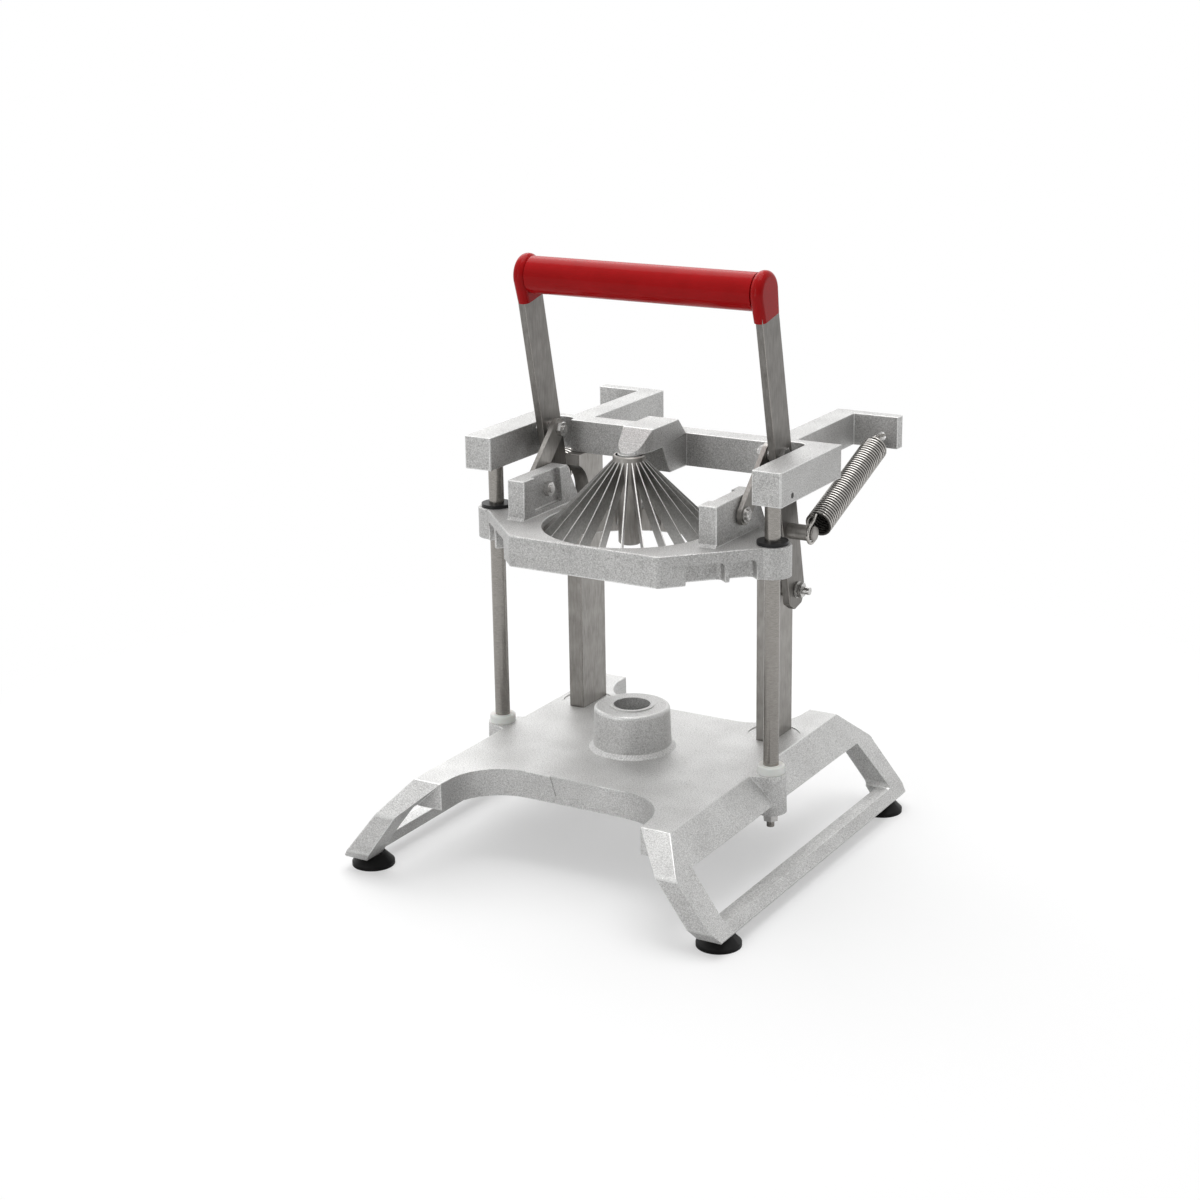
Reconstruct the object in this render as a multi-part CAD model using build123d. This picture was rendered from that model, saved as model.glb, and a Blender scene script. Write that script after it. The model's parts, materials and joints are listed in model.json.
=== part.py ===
from build123d import *
import os
from math import atan2, cos, degrees, hypot, radians, sin, sqrt, tan

# A hand press that opens an onion or an apple into petals with one pull of its lever.
# A cast base carries two guide rods and two rear columns, and a cast yoke ties their tops.
# Between them a cast head slides on the rods with a cone of 24 thin blades.
# Two flat links hang the head from a long lever, and two springs pull the lever back up.
#
# Millimetres. X runs to the operator's right, Y away from the operator, Z up from the table.
# Sizes are written from the axis of the blades: x = 0, y = 0 is the middle of the cup.
# The right-hand pieces are modelled, and the left-hand ones are their mirror images.

os.makedirs("parts", exist_ok=True)

# ---------------------------------------------------------------- fits and clearances
BORE_CLEARANCE = 0.05        # radial, a rod or bolt in its hole
SLOT_CLEARANCE = 0.06        # each side, a blade or tenon in its slot
FACE_GAP = 0.3               # between flat faces that slide past each other
EDGE_ROUND = 1.5             # cast edges
EDGE_BREAK = 0.9             # turned and machined edges

# ---------------------------------------------------------------- fasteners (1/4 in)
BOLT_RADIUS = 3.175
HEX_FLATS = 11.1             # across flats of bolt heads and nuts
HEX_HEIGHT = 4.4
WASHER_RADIUS = 6.8
WASHER_THICKNESS = 1.3
SCREW_RADIUS = 2.4           # small screws: feet and yoke
BOLT_TIP = 2.0               # thread that shows past a nut
STUD_TIP = 6.0               # longer thread past the pivot nuts
CAP_HEAD_RADIUS = 5.1        # round heads of the column screws

# ---------------------------------------------------------------- base casting
DECK_HEIGHT = 82.0
DECK_THICKNESS = 10.0
SKIRT_DEPTH = 23.0           # front and rear apron, measured down from the deck
SKIRT_WALL = 8.0
SIDE_WALL = 26.0             # thicker walls along the sides, below the deck
END_WALL = 16.0
DECK_HALF_WIDTH = 118.0
APRON_Y = 93.5               # middle of the hollowed front and rear edges
APRON_HOLLOW = 56.5          # from there out to the four corners
LEG_INNER_X = 92.0           # inner edge of a leg at deck height
APRON_CORNER_RADIUS = 45.0
SIDE_SPLAY = 39.15           # degrees, how far the side frames lean out
FOOT_LEVEL = 11.0            # underside of the side frames
KNEE_DROP = 25.0             # below the deck, where the legs turn from sloping to upright
KNEE_ROUND = 5.0
TOE_LEVEL = 19.0
KNEE_REACH = 27.0            # the knees in front of the corners of the deck
TOE_SLOPE = 5.0
GUSSET_WIDTH = 19.0          # side frame, across, at the knee
TOE_WIDTH = 23.0             # side frame, across, at the floor
SIDE_RAIL_HEIGHT = 24.0      # from the window up to the deck
LEG_DEPTH = 26.0             # from a knee back to the window, at its top
LEG_DEPTH_AT_FLOOR = 21.5
WINDOW_FLOOR = 20.5
WINDOW_CORNER = 4.0
SILL_WIDTH = 12.0            # top face of the bottom bar
PANEL_TOP_HALF = 24.0        # shallow panel in the front apron
PANEL_FLOOR_HALF = 19.0
PANEL_HEIGHT = 16.0
PANEL_DEPTH = 0.8

# ---------------------------------------------------------------- cup on the deck
CUP_HEIGHT = 36.0
CUP_RADIUS = 33.0
CUP_TOP_RADIUS = 31.7
CUP_TOP_ROUND = 3.0
CUP_FOOT_ROUND = 3.5
CUP_HOLE_RADIUS = 15.4
CUP_LIP_RADIUS = 18.5
CUP_LIP_HEIGHT = 1.0
CUP_TOP_WALL = 11.0
CUP_SIDE_WALL = 6.0

# ---------------------------------------------------------------- rubber feet
FOOT_X = 161.0
FOOT_INSET = 25.0            # behind the knees
FOOT_RADIUS = 17.7
FOOT_NECK_RADIUS = 10.0
FOOT_RIM = 3.0
FOOT_HOLE_RADIUS = 5.5
FOOT_HOLE_DEPTH = 5.0
FOOT_SCREW_LENGTH = 13.0
FOOT_SCREW_HEAD = 2.5

# ---------------------------------------------------------------- guide rods
ROD_X = 129.0
ROD_RADIUS = 6.35            # 1/2 in
ROD_BOSS_RADIUS = 12.3
ROD_BOSS_FOOT_RADIUS = 13.2
ROD_BOSS_LENGTH = 33.5
ROD_PAD_HALF = 17.0
ROD_SEAT_DEPTH = 26.0        # how deep the rod stands in its boss
ROD_TOP_IN_YOKE = 22.0
ROD_THREAD_RADIUS = 3.175
ROD_NUT_HEIGHT = 8.0
ROD_NUT_FLANGE = 2.5
ROD_THREAD_END = 13.5
BUMPER_RADIUS = 11.0
BUMPER_HEIGHT = 7.0

# ---------------------------------------------------------------- rear columns
COLUMN_X = 84.6              # inner face
COLUMN_THICKNESS = 13.8
COLUMN_Y = 61.3              # front edge
COLUMN_DEPTH = 40.0
COLUMN_NOTCH_RADIUS = 27.5   # hollow in the front edge behind the raised head
COLUMN_NOTCH_DEPTH = 16.0
COLUMN_NOTCH_LEVEL = 275.0
COLUMN_SPOT_RADIUS = 22.0
COLUMN_SPOT_DEPTH = 0.8
COLUMN_SCREW_PITCH = 20.0
COLUMN_SCREW_GRIP = 16.0
COLUMN_SCREW_ROOM = 1.0      # round the heads, in the wall beside them
TENON_WIDTH = 9.0
TENON_DEPTH = 14.0
TENON_HEIGHT = 12.0

# ---------------------------------------------------------------- yoke casting
YOKE_UNDERSIDE = 309.0
YOKE_HEIGHT = 27.8
YOKE_ARM_X = 120.3           # inner face of a front arm
YOKE_ARM_WIDTH = 25.6
YOKE_ARM_FRONT = -20.4
CROSSBAR_Y = 71.0
CROSSBAR_DEPTH = 19.3
LEVER_SLOT_X = 98.0
LEVER_SLOT_REAR = 81.0
LEVER_SLOT_ROUND = 8.0
REAR_ARM_X = 85.8
REAR_ARM_WIDTH = 20.3
HOOK_REACH_X = 146.6
HOOK_REAR_Y = 213.3
HOOK_DEPTH = 11.3
HOOK_HOLE_RADIUS = 4.0
HOOK_HOLE_RISE = 10.0        # above the underside of the yoke
NOSE_HALF_WIDTH = 14.0
NOSE_RADIUS = 11.6           # of its round end
NOSE_ROUND_Y = 6.0           # middle of that end
NOSE_RAMP_Y = 15.0
NOSE_RISE = 14.2             # crest above the crossbar
NOSE_CREST_REAR = 58.0
NOSE_SHOULDER_RISE = 0.8     # foot of the ramp above the arch
NOSE_ARCH_RISE = 23.8        # above the underside of the crossbar
NOSE_ARCH_Y = 31.0
NOSE_ARCH_FOOT_Y = 43.5
NOSE_BOSS_LENGTH = 10.0      # down into the hub, round the top of the stripper rod
SET_SCREW_LENGTH = 6.5
SET_SCREW_RISE = 6.0
STRIPPER_RADIUS = 9.5
STRIPPER_END = 258.0
STRIPPER_SPIGOT_RADIUS = 5.0

# ---------------------------------------------------------------- sliding head
HEAD_TOP = 274.0
HEAD_HEIGHT = 25.5
HEAD_FLANGE = 9.0
HEAD_BORE_RADIUS = 71.9
HEAD_FRONT_Y = 76.0
HEAD_FRONT_CHAMFER = 144.0   # |x| + |y| along the front corners
HEAD_REAR_CHAMFER = 138.0
HEAD_BOSS_RADIUS = 15.5
HEAD_FRONT_ROUND = 6.0
HEAD_POCKET_DEPTH = 11.0     # square to the corner's face
HEAD_POCKET_ROUND = 4.0
HEAD_POCKETS = ((84.0, 106.5), (109.3, 125.0))    # x of each pocket's ends
LUG_X = 80.5
LUG_WIDTH = 16.0
LUG_FRONT = -32.5
LUG_TOP_REAR = 36.0
LUG_FOOT_REAR = 54.0
LUG_HEIGHT = 33.0
LUG_RECESS_DEPTH = 4.0
LUG_RECESS_FRONT = -16.5
LUG_RECESS_REAR = 26.5
LUG_RECESS_DROP = 29.0
LUG_RECESS_DRAFT = 3.0
LUG_BEAD = 2.5
BUSHING_RADIUS = 9.0
BUSHING_FLANGE_RADIUS = 12.7
BUSHING_FLANGE_HEIGHT = 2.8

# ---------------------------------------------------------------- cutting cone
BLADE_COUNT = 24
BLADE_FIRST_ANGLE = 9.0      # degrees from the front, towards the right
BLADE_THICKNESS = 0.9
BLADE_DEPTH = 17.0           # upright, so about 12 square to the edge
BLADE_SLOPE = 45.1           # degrees
BLADE_APEX = 341.5           # where the top edges would meet on the axis
HUB_RADIUS = 13.4
HUB_BORE_RADIUS = 11.3
HUB_GAP = 0.6                # between the hub and the nose, with the head right up
HUB_HEIGHT = 22.5
HUB_SLOT_DEPTH = 1.2
BAND_WALL = 1.5
BAND_TOP = 268.5
BAND_HEIGHT = 18.5
BAND_SLOT_DEPTH = 0.8

# ---------------------------------------------------------------- lever
PIVOT_Y = 80.5
PIVOT_Z = 212.5
LEVER_LEAN = 12.4            # degrees forward of upright, at rest
ARM_X = 105.6                # inner face
ARM_THICKNESS = 6.35
ARM_WIDTH = 28.7
ARM_TAIL = 15.5
ARM_TAIL_CHAMFER = 8.0
GRIP_REACH = 260.6
PIN_LINE_OFFSET = -3.0       # spring pin and link bolt, in front of the arm's middle
SPRING_PIN_REACH = 56.0
LINK_PIN_REACH = 124.0
HANDLE_BAR_RADIUS = 12.7
HANDLE_BAR_WALL = 2.0
GRIP_RADIUS = 15.35
CAP_INNER_WALL = 2.8         # between the sleeve and the arm
CAP_RADIUS = 17.3
CAP_WALL = 1.6               # outside the arm
CAP_DROP = 20.6              # from the grip's axis down the arm
CAP_SKIRT_WALL = 0.9         # in front of the arm and behind it
CAP_EDGE_ROUND = 5.0

# ---------------------------------------------------------------- links and their bolts
LUG_PIN_Y = 8.5
LUG_PIN_RISE = 18.0          # above the head's top face
LINK_X = 97.2                # inner face
LINK_THICKNESS = 4.0
LINK_END_RADIUS = 8.6
BUTTON_RADIUS = 4.6
BUTTON_HEIGHT = 2.6
BUTTON_ROUND = 2.0

# ---------------------------------------------------------------- return springs
SPRING_X = 132.0
SPRING_PIN_RADIUS = 6.5
SPRING_PIN_END_X = 135.4
SPRING_GROOVE_RADIUS = 5.7
SPRING_GROOVE_WIDTH = 3.6
WIRE_RADIUS = 1.45
COIL_RADIUS = 11.4
COIL_START = 21.0            # from the hook's hole, along the spring
COIL_LENGTH = 118.0
HOOK_LINE_INSET = 3.5        # the end wires leave the coil this far inside its outside
HOOK_TILT = 7.5              # degrees, half of the spring's swing
HOOK_LEAD = 15.0
HOOK_TAIL = 6.5
HOOK_TAIL_GAP = 3.4
HOOK_BEND_RADIUS = 2.6
LOOP_SWEEP = 270.0

# ---------------------------------------------------------------- worked out from the above
DECK_HALF_DEPTH = APRON_Y + APRON_HOLLOW
BASE_HALF_DEPTH = DECK_HALF_DEPTH + KNEE_REACH
TOE_HALF_DEPTH = BASE_HALF_DEPTH - TOE_SLOPE
WINDOW_TOP_HALF = BASE_HALF_DEPTH - LEG_DEPTH
WINDOW_FLOOR_HALF = BASE_HALF_DEPTH - LEG_DEPTH_AT_FLOOR
FOOT_Y = BASE_HALF_DEPTH - FOOT_INSET
PLATE_UNDERSIDE = DECK_HEIGHT - DECK_THICKNESS
WINDOW_TOP = DECK_HEIGHT - SIDE_RAIL_HEIGHT
KNEE_LEVEL = DECK_HEIGHT - KNEE_DROP
SKIRT_FLOOR = DECK_HEIGHT - SKIRT_DEPTH
SPLAY = tan(radians(SIDE_SPLAY))
BASE_HALF_WIDTH = DECK_HALF_WIDTH + SPLAY * (DECK_HEIGHT - FOOT_LEVEL)
COLUMN_MID_X = COLUMN_X + COLUMN_THICKNESS / 2
COLUMN_MID_Y = COLUMN_Y + COLUMN_DEPTH / 2
COLUMN_FOOT = DECK_HEIGHT - COLUMN_SPOT_DEPTH
YOKE_TOP = YOKE_UNDERSIDE + YOKE_HEIGHT
NOSE_CREST = YOKE_TOP + NOSE_RISE
NOSE_UNDERSIDE = YOKE_UNDERSIDE + NOSE_ARCH_RISE
NOSE_FRONT = NOSE_ROUND_Y - NOSE_RADIUS
NOSE_TIP = NOSE_UNDERSIDE - NOSE_BOSS_LENGTH
HUB_TOP = NOSE_UNDERSIDE - HUB_GAP
CROSSBAR_REAR = CROSSBAR_Y + CROSSBAR_DEPTH
YOKE_ARM_OUTER = YOKE_ARM_X + YOKE_ARM_WIDTH
HEAD_BOTTOM = HEAD_TOP - HEAD_HEIGHT
LUG_TOP = HEAD_TOP + LUG_HEIGHT
LUG_PIN_Z = HEAD_TOP + LUG_PIN_RISE
LUG_OUTER_X = LUG_X + LUG_WIDTH
LINK_OUTER_X = LINK_X + LINK_THICKNESS
ARM_OUTER_X = ARM_X + ARM_THICKNESS
GRIP_HALF_LENGTH = ARM_X - CAP_INNER_WALL
LEAN = radians(LEVER_LEAN)
HOOK_Y = HOOK_REAR_Y - HOOK_DEPTH / 2
HOOK_Z = YOKE_UNDERSIDE + HOOK_HOLE_RISE
ROD_SEAT = DECK_HEIGHT - ROD_SEAT_DEPTH
LOW = Align.MIN
MID = Align.CENTER


def on_arm(reach, offset=0.0):
    """Point (y, z) at a distance along the lever from its pivot, and an offset rearwards."""
    y = PIVOT_Y - reach * sin(LEAN) + offset * cos(LEAN)
    z = PIVOT_Z + reach * cos(LEAN) + offset * sin(LEAN)
    return y, z


GRIP_Y, GRIP_Z = on_arm(GRIP_REACH)
SPRING_PIN_Y, SPRING_PIN_Z = on_arm(SPRING_PIN_REACH, PIN_LINE_OFFSET)
LINK_PIN_Y, LINK_PIN_Z = on_arm(LINK_PIN_REACH, PIN_LINE_OFFSET)
HOOK_LINE_OFFSET = COIL_RADIUS - HOOK_LINE_INSET
SPRING_SPAN = hypot(HOOK_Y - SPRING_PIN_Y, HOOK_Z - SPRING_PIN_Z)
SPRING_ANGLE = atan2(HOOK_Z - SPRING_PIN_Z, HOOK_Y - SPRING_PIN_Y)


# ---------------------------------------------------------------- small helpers
def prism_x(points, x_from, x_to):
    """An outline of (y, z) points carried across from one x to another."""
    face = make_face(Polyline(*points, close=True))
    return extrude(Plane.YZ.offset(x_from) * face, amount=x_to - x_from)


def prism_z(face, z_from, z_to):
    """A plan face, drawn in X and Y, raised from one level to another."""
    return extrude(Pos(0, 0, z_from) * face, amount=z_to - z_from)


def block(x_from, x_to, y_from, y_to, z_from, z_to):
    """A block between two corners."""
    size = Box(x_to - x_from, y_to - y_from, z_to - z_from, align=(LOW, LOW, LOW))
    return Pos(x_from, y_from, z_from) * size


def bar_x(radius, x_from, x_to, y, z):
    """A round bar along X."""
    plane = Plane(origin=(x_from, y, z), x_dir=(0, 1, 0), z_dir=(1, 0, 0))
    return plane * Cylinder(radius, x_to - x_from, align=(MID, MID, LOW))


def post(radius, x, y, z_from, z_to):
    """A round post along Z."""
    return Pos(x, y, z_from) * Cylinder(radius, z_to - z_from, align=(MID, MID, LOW))


def hex_x(x_from, x_to, y, z, bore=0.0):
    """A hexagon along X, with its flats level, and a hole if it is a nut."""
    outline = RegularPolygon(HEX_FLATS / 2, 6, major_radius=False)
    if bore:
        outline -= Circle(bore)
    plane = Plane(origin=(x_from, y, z), x_dir=(0, 1, 0), z_dir=(1, 0, 0))
    return extrude(plane * outline, amount=x_to - x_from)


def washer_x(x_from, y, z):
    """A flat washer on a bolt along X."""
    ring = bar_x(WASHER_RADIUS, x_from, x_from + WASHER_THICKNESS, y, z)
    return ring - bar_x(BOLT_RADIUS + BORE_CLEARANCE, x_from, x_from + WASHER_THICKNESS, y, z)


def hole_x(x_from, x_to, y, z):
    """The clearance hole of a bolt along X."""
    return bar_x(BOLT_RADIUS + BORE_CLEARANCE, x_from, x_to, y, z)


def both_sides(shape):
    """A right-hand piece with its mirror image."""
    return shape + mirror(shape, about=Plane.YZ)


# ---------------------------------------------------------------- base
def deck_outline(inset=0.0):
    """Plan of the deck: straight sides, and front and rear edges hollowed between the legs."""
    leg_x = LEG_INNER_X + inset
    edge_y = APRON_Y - inset
    corner = APRON_CORNER_RADIUS + inset
    half_width = DECK_HALF_WIDTH - 2 * EDGE_ROUND
    half_depth = DECK_HALF_DEPTH
    quarter = Polyline((0, 0), (half_width, 0), (half_width, half_depth), (leg_x, half_depth),
                       (leg_x, edge_y), (0, edge_y), close=True)
    face = make_face(quarter)
    inner_corner = face.vertices().filter_by(
        lambda v: abs(v.X - leg_x) < inset + 0.01 and abs(v.Y - edge_y) < inset + 0.01)
    face = fillet(inner_corner, corner)
    face += mirror(face, about=Plane.YZ)
    return face + mirror(face, about=Plane.XZ)


def side_frame():
    """The right-hand side frame: two splayed legs and a bottom bar round an open window."""
    def outer_x(level):
        return DECK_HALF_WIDTH + SPLAY * (DECK_HEIGHT - level)

    section = [(LEG_INNER_X, DECK_HEIGHT), (DECK_HALF_WIDTH, DECK_HEIGHT),
               (outer_x(FOOT_LEVEL), FOOT_LEVEL), (outer_x(FOOT_LEVEL) - TOE_WIDTH, FOOT_LEVEL),
               (outer_x(KNEE_LEVEL) - GUSSET_WIDTH, KNEE_LEVEL)]
    section_face = Plane.XZ * make_face(Polyline(*section, close=True))
    frame = extrude(section_face, amount=BASE_HALF_DEPTH, both=True)
    half = [(DECK_HALF_DEPTH, DECK_HEIGHT), (BASE_HALF_DEPTH, KNEE_LEVEL),
            (BASE_HALF_DEPTH, TOE_LEVEL), (TOE_HALF_DEPTH, FOOT_LEVEL)]
    profile = make_face(Polyline(*half, *[(-y, z) for y, z in reversed(half)], close=True))
    knees = profile.vertices().group_by(Axis.X)
    profile = fillet(knees[0] + knees[-1], KNEE_ROUND)
    frame &= extrude(Plane.YZ * profile, amount=BASE_HALF_WIDTH)
    frame = fillet(frame.faces().sort_by(Axis.X)[-1].outer_wire().edges(), EDGE_ROUND)

    window_half = [(WINDOW_TOP_HALF, WINDOW_TOP), (WINDOW_FLOOR_HALF, WINDOW_FLOOR)]
    window_points = window_half + [(-y, z) for y, z in reversed(window_half)]
    window_face = make_face(Polyline(*window_points, close=True))
    window_face = fillet(window_face.vertices(), WINDOW_CORNER)
    frame -= extrude(Plane.YZ * window_face, amount=BASE_HALF_WIDTH)

    sill_inner = outer_x(WINDOW_FLOOR) - SILL_WIDTH
    frame -= block(0, sill_inner, -WINDOW_TOP_HALF, WINDOW_TOP_HALF, 0, WINDOW_TOP)
    return frame


def cup():
    """The cup that holds the onion: a drafted boss, hollow below, with a hole for its core."""
    top = DECK_HEIGHT + CUP_HEIGHT
    with BuildPart() as boss:
        with BuildSketch(Plane.XZ):
            with BuildLine():
                Polyline((0, PLATE_UNDERSIDE), (CUP_RADIUS, PLATE_UNDERSIDE), (CUP_RADIUS, DECK_HEIGHT),
                         (CUP_TOP_RADIUS, top), (0, top), close=True)
            make_face()
        revolve(axis=Axis.Z)
        fillet(boss.edges().group_by(Axis.Z)[-1], CUP_TOP_ROUND)
    foot = Cone(CUP_RADIUS + CUP_FOOT_ROUND, CUP_RADIUS, CUP_FOOT_ROUND, align=(MID, MID, LOW))
    lip = post(CUP_LIP_RADIUS, 0, 0, top - CUP_TOP_ROUND, top + CUP_LIP_HEIGHT)
    return boss.part + Pos(0, 0, DECK_HEIGHT) * foot + lip


def base_casting():
    """One aluminium casting: deck with apron, splayed side frames, rod bosses and cup."""
    body = prism_z(deck_outline(), SKIRT_FLOOR, DECK_HEIGHT)
    body += both_sides(side_frame())
    pocket = prism_z(deck_outline(SKIRT_WALL), 0, PLATE_UNDERSIDE)
    pocket &= block(SIDE_WALL - DECK_HALF_WIDTH, DECK_HALF_WIDTH - SIDE_WALL,
                    END_WALL - DECK_HALF_DEPTH, DECK_HALF_DEPTH - END_WALL, 0, PLATE_UNDERSIDE)
    body -= pocket
    body += cup()
    cavity = CUP_TOP_RADIUS - CUP_SIDE_WALL
    body -= post(cavity, 0, 0, 0, DECK_HEIGHT + CUP_HEIGHT - CUP_TOP_WALL)
    body -= post(CUP_HOLE_RADIUS, 0, 0, 0, DECK_HEIGHT + CUP_HEIGHT + CUP_LIP_HEIGHT)

    boss = Cone(ROD_BOSS_FOOT_RADIUS, ROD_BOSS_RADIUS, ROD_BOSS_LENGTH, align=(MID, MID, Align.MAX))
    boss = Pos(ROD_X, 0, DECK_HEIGHT) * boss
    pad = make_face(Polyline((DECK_HALF_WIDTH, -ROD_PAD_HALF), (ROD_X, -ROD_BOSS_RADIUS),
                             (ROD_X, ROD_BOSS_RADIUS), (DECK_HALF_WIDTH, ROD_PAD_HALF), close=True))
    boss += prism_z(pad, WINDOW_TOP, DECK_HEIGHT)
    body += both_sides(boss)
    seat = post(ROD_RADIUS + BORE_CLEARANCE, ROD_X, 0, ROD_SEAT, DECK_HEIGHT)
    seat += post(ROD_THREAD_RADIUS + BORE_CLEARANCE, ROD_X, 0, 0, ROD_SEAT)
    body -= both_sides(seat)

    spot = post(COLUMN_SPOT_RADIUS, COLUMN_MID_X, COLUMN_MID_Y, COLUMN_FOOT, DECK_HEIGHT)
    for y in column_screw_places():
        spot += post(BOLT_RADIUS + BORE_CLEARANCE, COLUMN_MID_X, y, 0, DECK_HEIGHT)
        spot += post(CAP_HEAD_RADIUS + COLUMN_SCREW_ROOM, COLUMN_MID_X, y, 0, PLATE_UNDERSIDE)
    body -= both_sides(spot)
    for y in (-FOOT_Y, FOOT_Y):
        body -= both_sides(post(SCREW_RADIUS + BORE_CLEARANCE, FOOT_X, y, 0, foot_screw_top()))

    panel = [(-PANEL_TOP_HALF, DECK_HEIGHT), (PANEL_TOP_HALF, DECK_HEIGHT),
             (PANEL_FLOOR_HALF, DECK_HEIGHT - PANEL_HEIGHT), (-PANEL_FLOOR_HALF, DECK_HEIGHT - PANEL_HEIGHT)]
    panel_face = Plane.XZ.offset(APRON_Y - PANEL_DEPTH) * make_face(Polyline(*panel, close=True))
    body -= extrude(panel_face, amount=PANEL_DEPTH)
    return body


def foot_screw_top():
    return FOOT_HOLE_DEPTH - FOOT_SCREW_HEAD + FOOT_SCREW_LENGTH


def column_screw_places():
    return (COLUMN_MID_Y - COLUMN_SCREW_PITCH / 2, COLUMN_MID_Y + COLUMN_SCREW_PITCH / 2)


def rubber_feet():
    """Four round rubber pads, wide at the table, each with a counterbored hole."""
    feet = []
    for x in (-FOOT_X, FOOT_X):
        for y in (-FOOT_Y, FOOT_Y):
            pad = post(FOOT_RADIUS, x, y, 0, FOOT_RIM)
            taper = Cone(FOOT_RADIUS, FOOT_NECK_RADIUS, FOOT_LEVEL - FOOT_RIM, align=(MID, MID, LOW))
            pad += Pos(x, y, FOOT_RIM) * taper
            pad -= post(FOOT_HOLE_RADIUS, x, y, 0, FOOT_HOLE_DEPTH)
            pad -= post(SCREW_RADIUS + BORE_CLEARANCE, x, y, 0, FOOT_LEVEL)
            feet.append(pad)
    return feet


def foot_screws():
    """Pan-head screws that hold the pads, sunk in their holes."""
    screws = []
    head_radius = FOOT_HOLE_RADIUS - SCREW_RADIUS / 2
    for x in (-FOOT_X, FOOT_X):
        for y in (-FOOT_Y, FOOT_Y):
            head = post(head_radius, x, y, FOOT_HOLE_DEPTH - FOOT_SCREW_HEAD, FOOT_HOLE_DEPTH)
            screws.append(head + post(SCREW_RADIUS, x, y, FOOT_HOLE_DEPTH, foot_screw_top()))
    return screws


# ---------------------------------------------------------------- rods, columns and yoke
def guide_rod():
    """Polished rod: shouldered in the base boss and threaded below it, blind in the yoke."""
    rod = post(ROD_RADIUS, ROD_X, 0, ROD_SEAT, YOKE_UNDERSIDE + ROD_TOP_IN_YOKE)
    rod = chamfer(rod.edges().group_by(Axis.Z)[-1], EDGE_BREAK)
    boss_bottom = DECK_HEIGHT - ROD_BOSS_LENGTH
    return rod + post(ROD_THREAD_RADIUS, ROD_X, 0, boss_bottom - ROD_THREAD_END, ROD_SEAT)


def rod_nut():
    """Flanged hexagon nut that pulls the rod down into its boss."""
    top = DECK_HEIGHT - ROD_BOSS_LENGTH
    nut = prism_z(RegularPolygon(HEX_FLATS / 2, 6, major_radius=False), top - ROD_NUT_HEIGHT, top)
    nut = Pos(ROD_X, 0, 0) * nut
    nut += post(WASHER_RADIUS, ROD_X, 0, top - ROD_NUT_FLANGE, top)
    return nut - post(ROD_THREAD_RADIUS + BORE_CLEARANCE, ROD_X, 0, 0, top)


def bumper_washer():
    """Nylon ring on the rod that stops the head above the base."""
    ring = post(BUMPER_RADIUS, ROD_X, 0, DECK_HEIGHT, DECK_HEIGHT + BUMPER_HEIGHT)
    ring = chamfer(ring.edges().group_by(Axis.Z)[-1], EDGE_BREAK)
    return ring - post(ROD_RADIUS + BORE_CLEARANCE, ROD_X, 0, DECK_HEIGHT, DECK_HEIGHT + BUMPER_HEIGHT)


def rear_column():
    """Steel flat bar from deck to yoke, with a hollow in its front edge and a tenon on top."""
    bar = block(COLUMN_X, COLUMN_X + COLUMN_THICKNESS, COLUMN_Y, COLUMN_Y + COLUMN_DEPTH,
                COLUMN_FOOT, YOKE_UNDERSIDE)
    notch_y = COLUMN_Y + COLUMN_NOTCH_DEPTH - COLUMN_NOTCH_RADIUS
    bar -= bar_x(COLUMN_NOTCH_RADIUS, COLUMN_X, COLUMN_X + COLUMN_THICKNESS, notch_y, COLUMN_NOTCH_LEVEL)
    bar += tenon(0)
    for y in column_screw_places():
        bar -= post(BOLT_RADIUS + BORE_CLEARANCE, COLUMN_MID_X, y, 0, COLUMN_FOOT + COLUMN_SCREW_GRIP)
    return bar - bar_x(BOLT_RADIUS + BORE_CLEARANCE, COLUMN_X, COLUMN_X + COLUMN_THICKNESS, PIVOT_Y, PIVOT_Z)


def tenon(clearance):
    """The tongue of a column, or with a clearance its socket in the yoke."""
    y = CROSSBAR_Y + CROSSBAR_DEPTH / 2
    return block(COLUMN_MID_X - TENON_WIDTH / 2 - clearance, COLUMN_MID_X + TENON_WIDTH / 2 + clearance,
                 y - TENON_DEPTH / 2 - clearance, y + TENON_DEPTH / 2 + clearance,
                 YOKE_UNDERSIDE, YOKE_UNDERSIDE + TENON_HEIGHT + clearance)


def column_screws():
    """Cap screws from under the deck into the foot of a column."""
    screws = []
    for y in column_screw_places():
        head = post(CAP_HEAD_RADIUS, COLUMN_MID_X, y, PLATE_UNDERSIDE - 2 * BOLT_RADIUS, PLATE_UNDERSIDE)
        top = COLUMN_FOOT + COLUMN_SCREW_GRIP - BOLT_TIP
        screws.append(head + post(BOLT_RADIUS, COLUMN_MID_X, y, PLATE_UNDERSIDE, top))
    return screws


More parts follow.
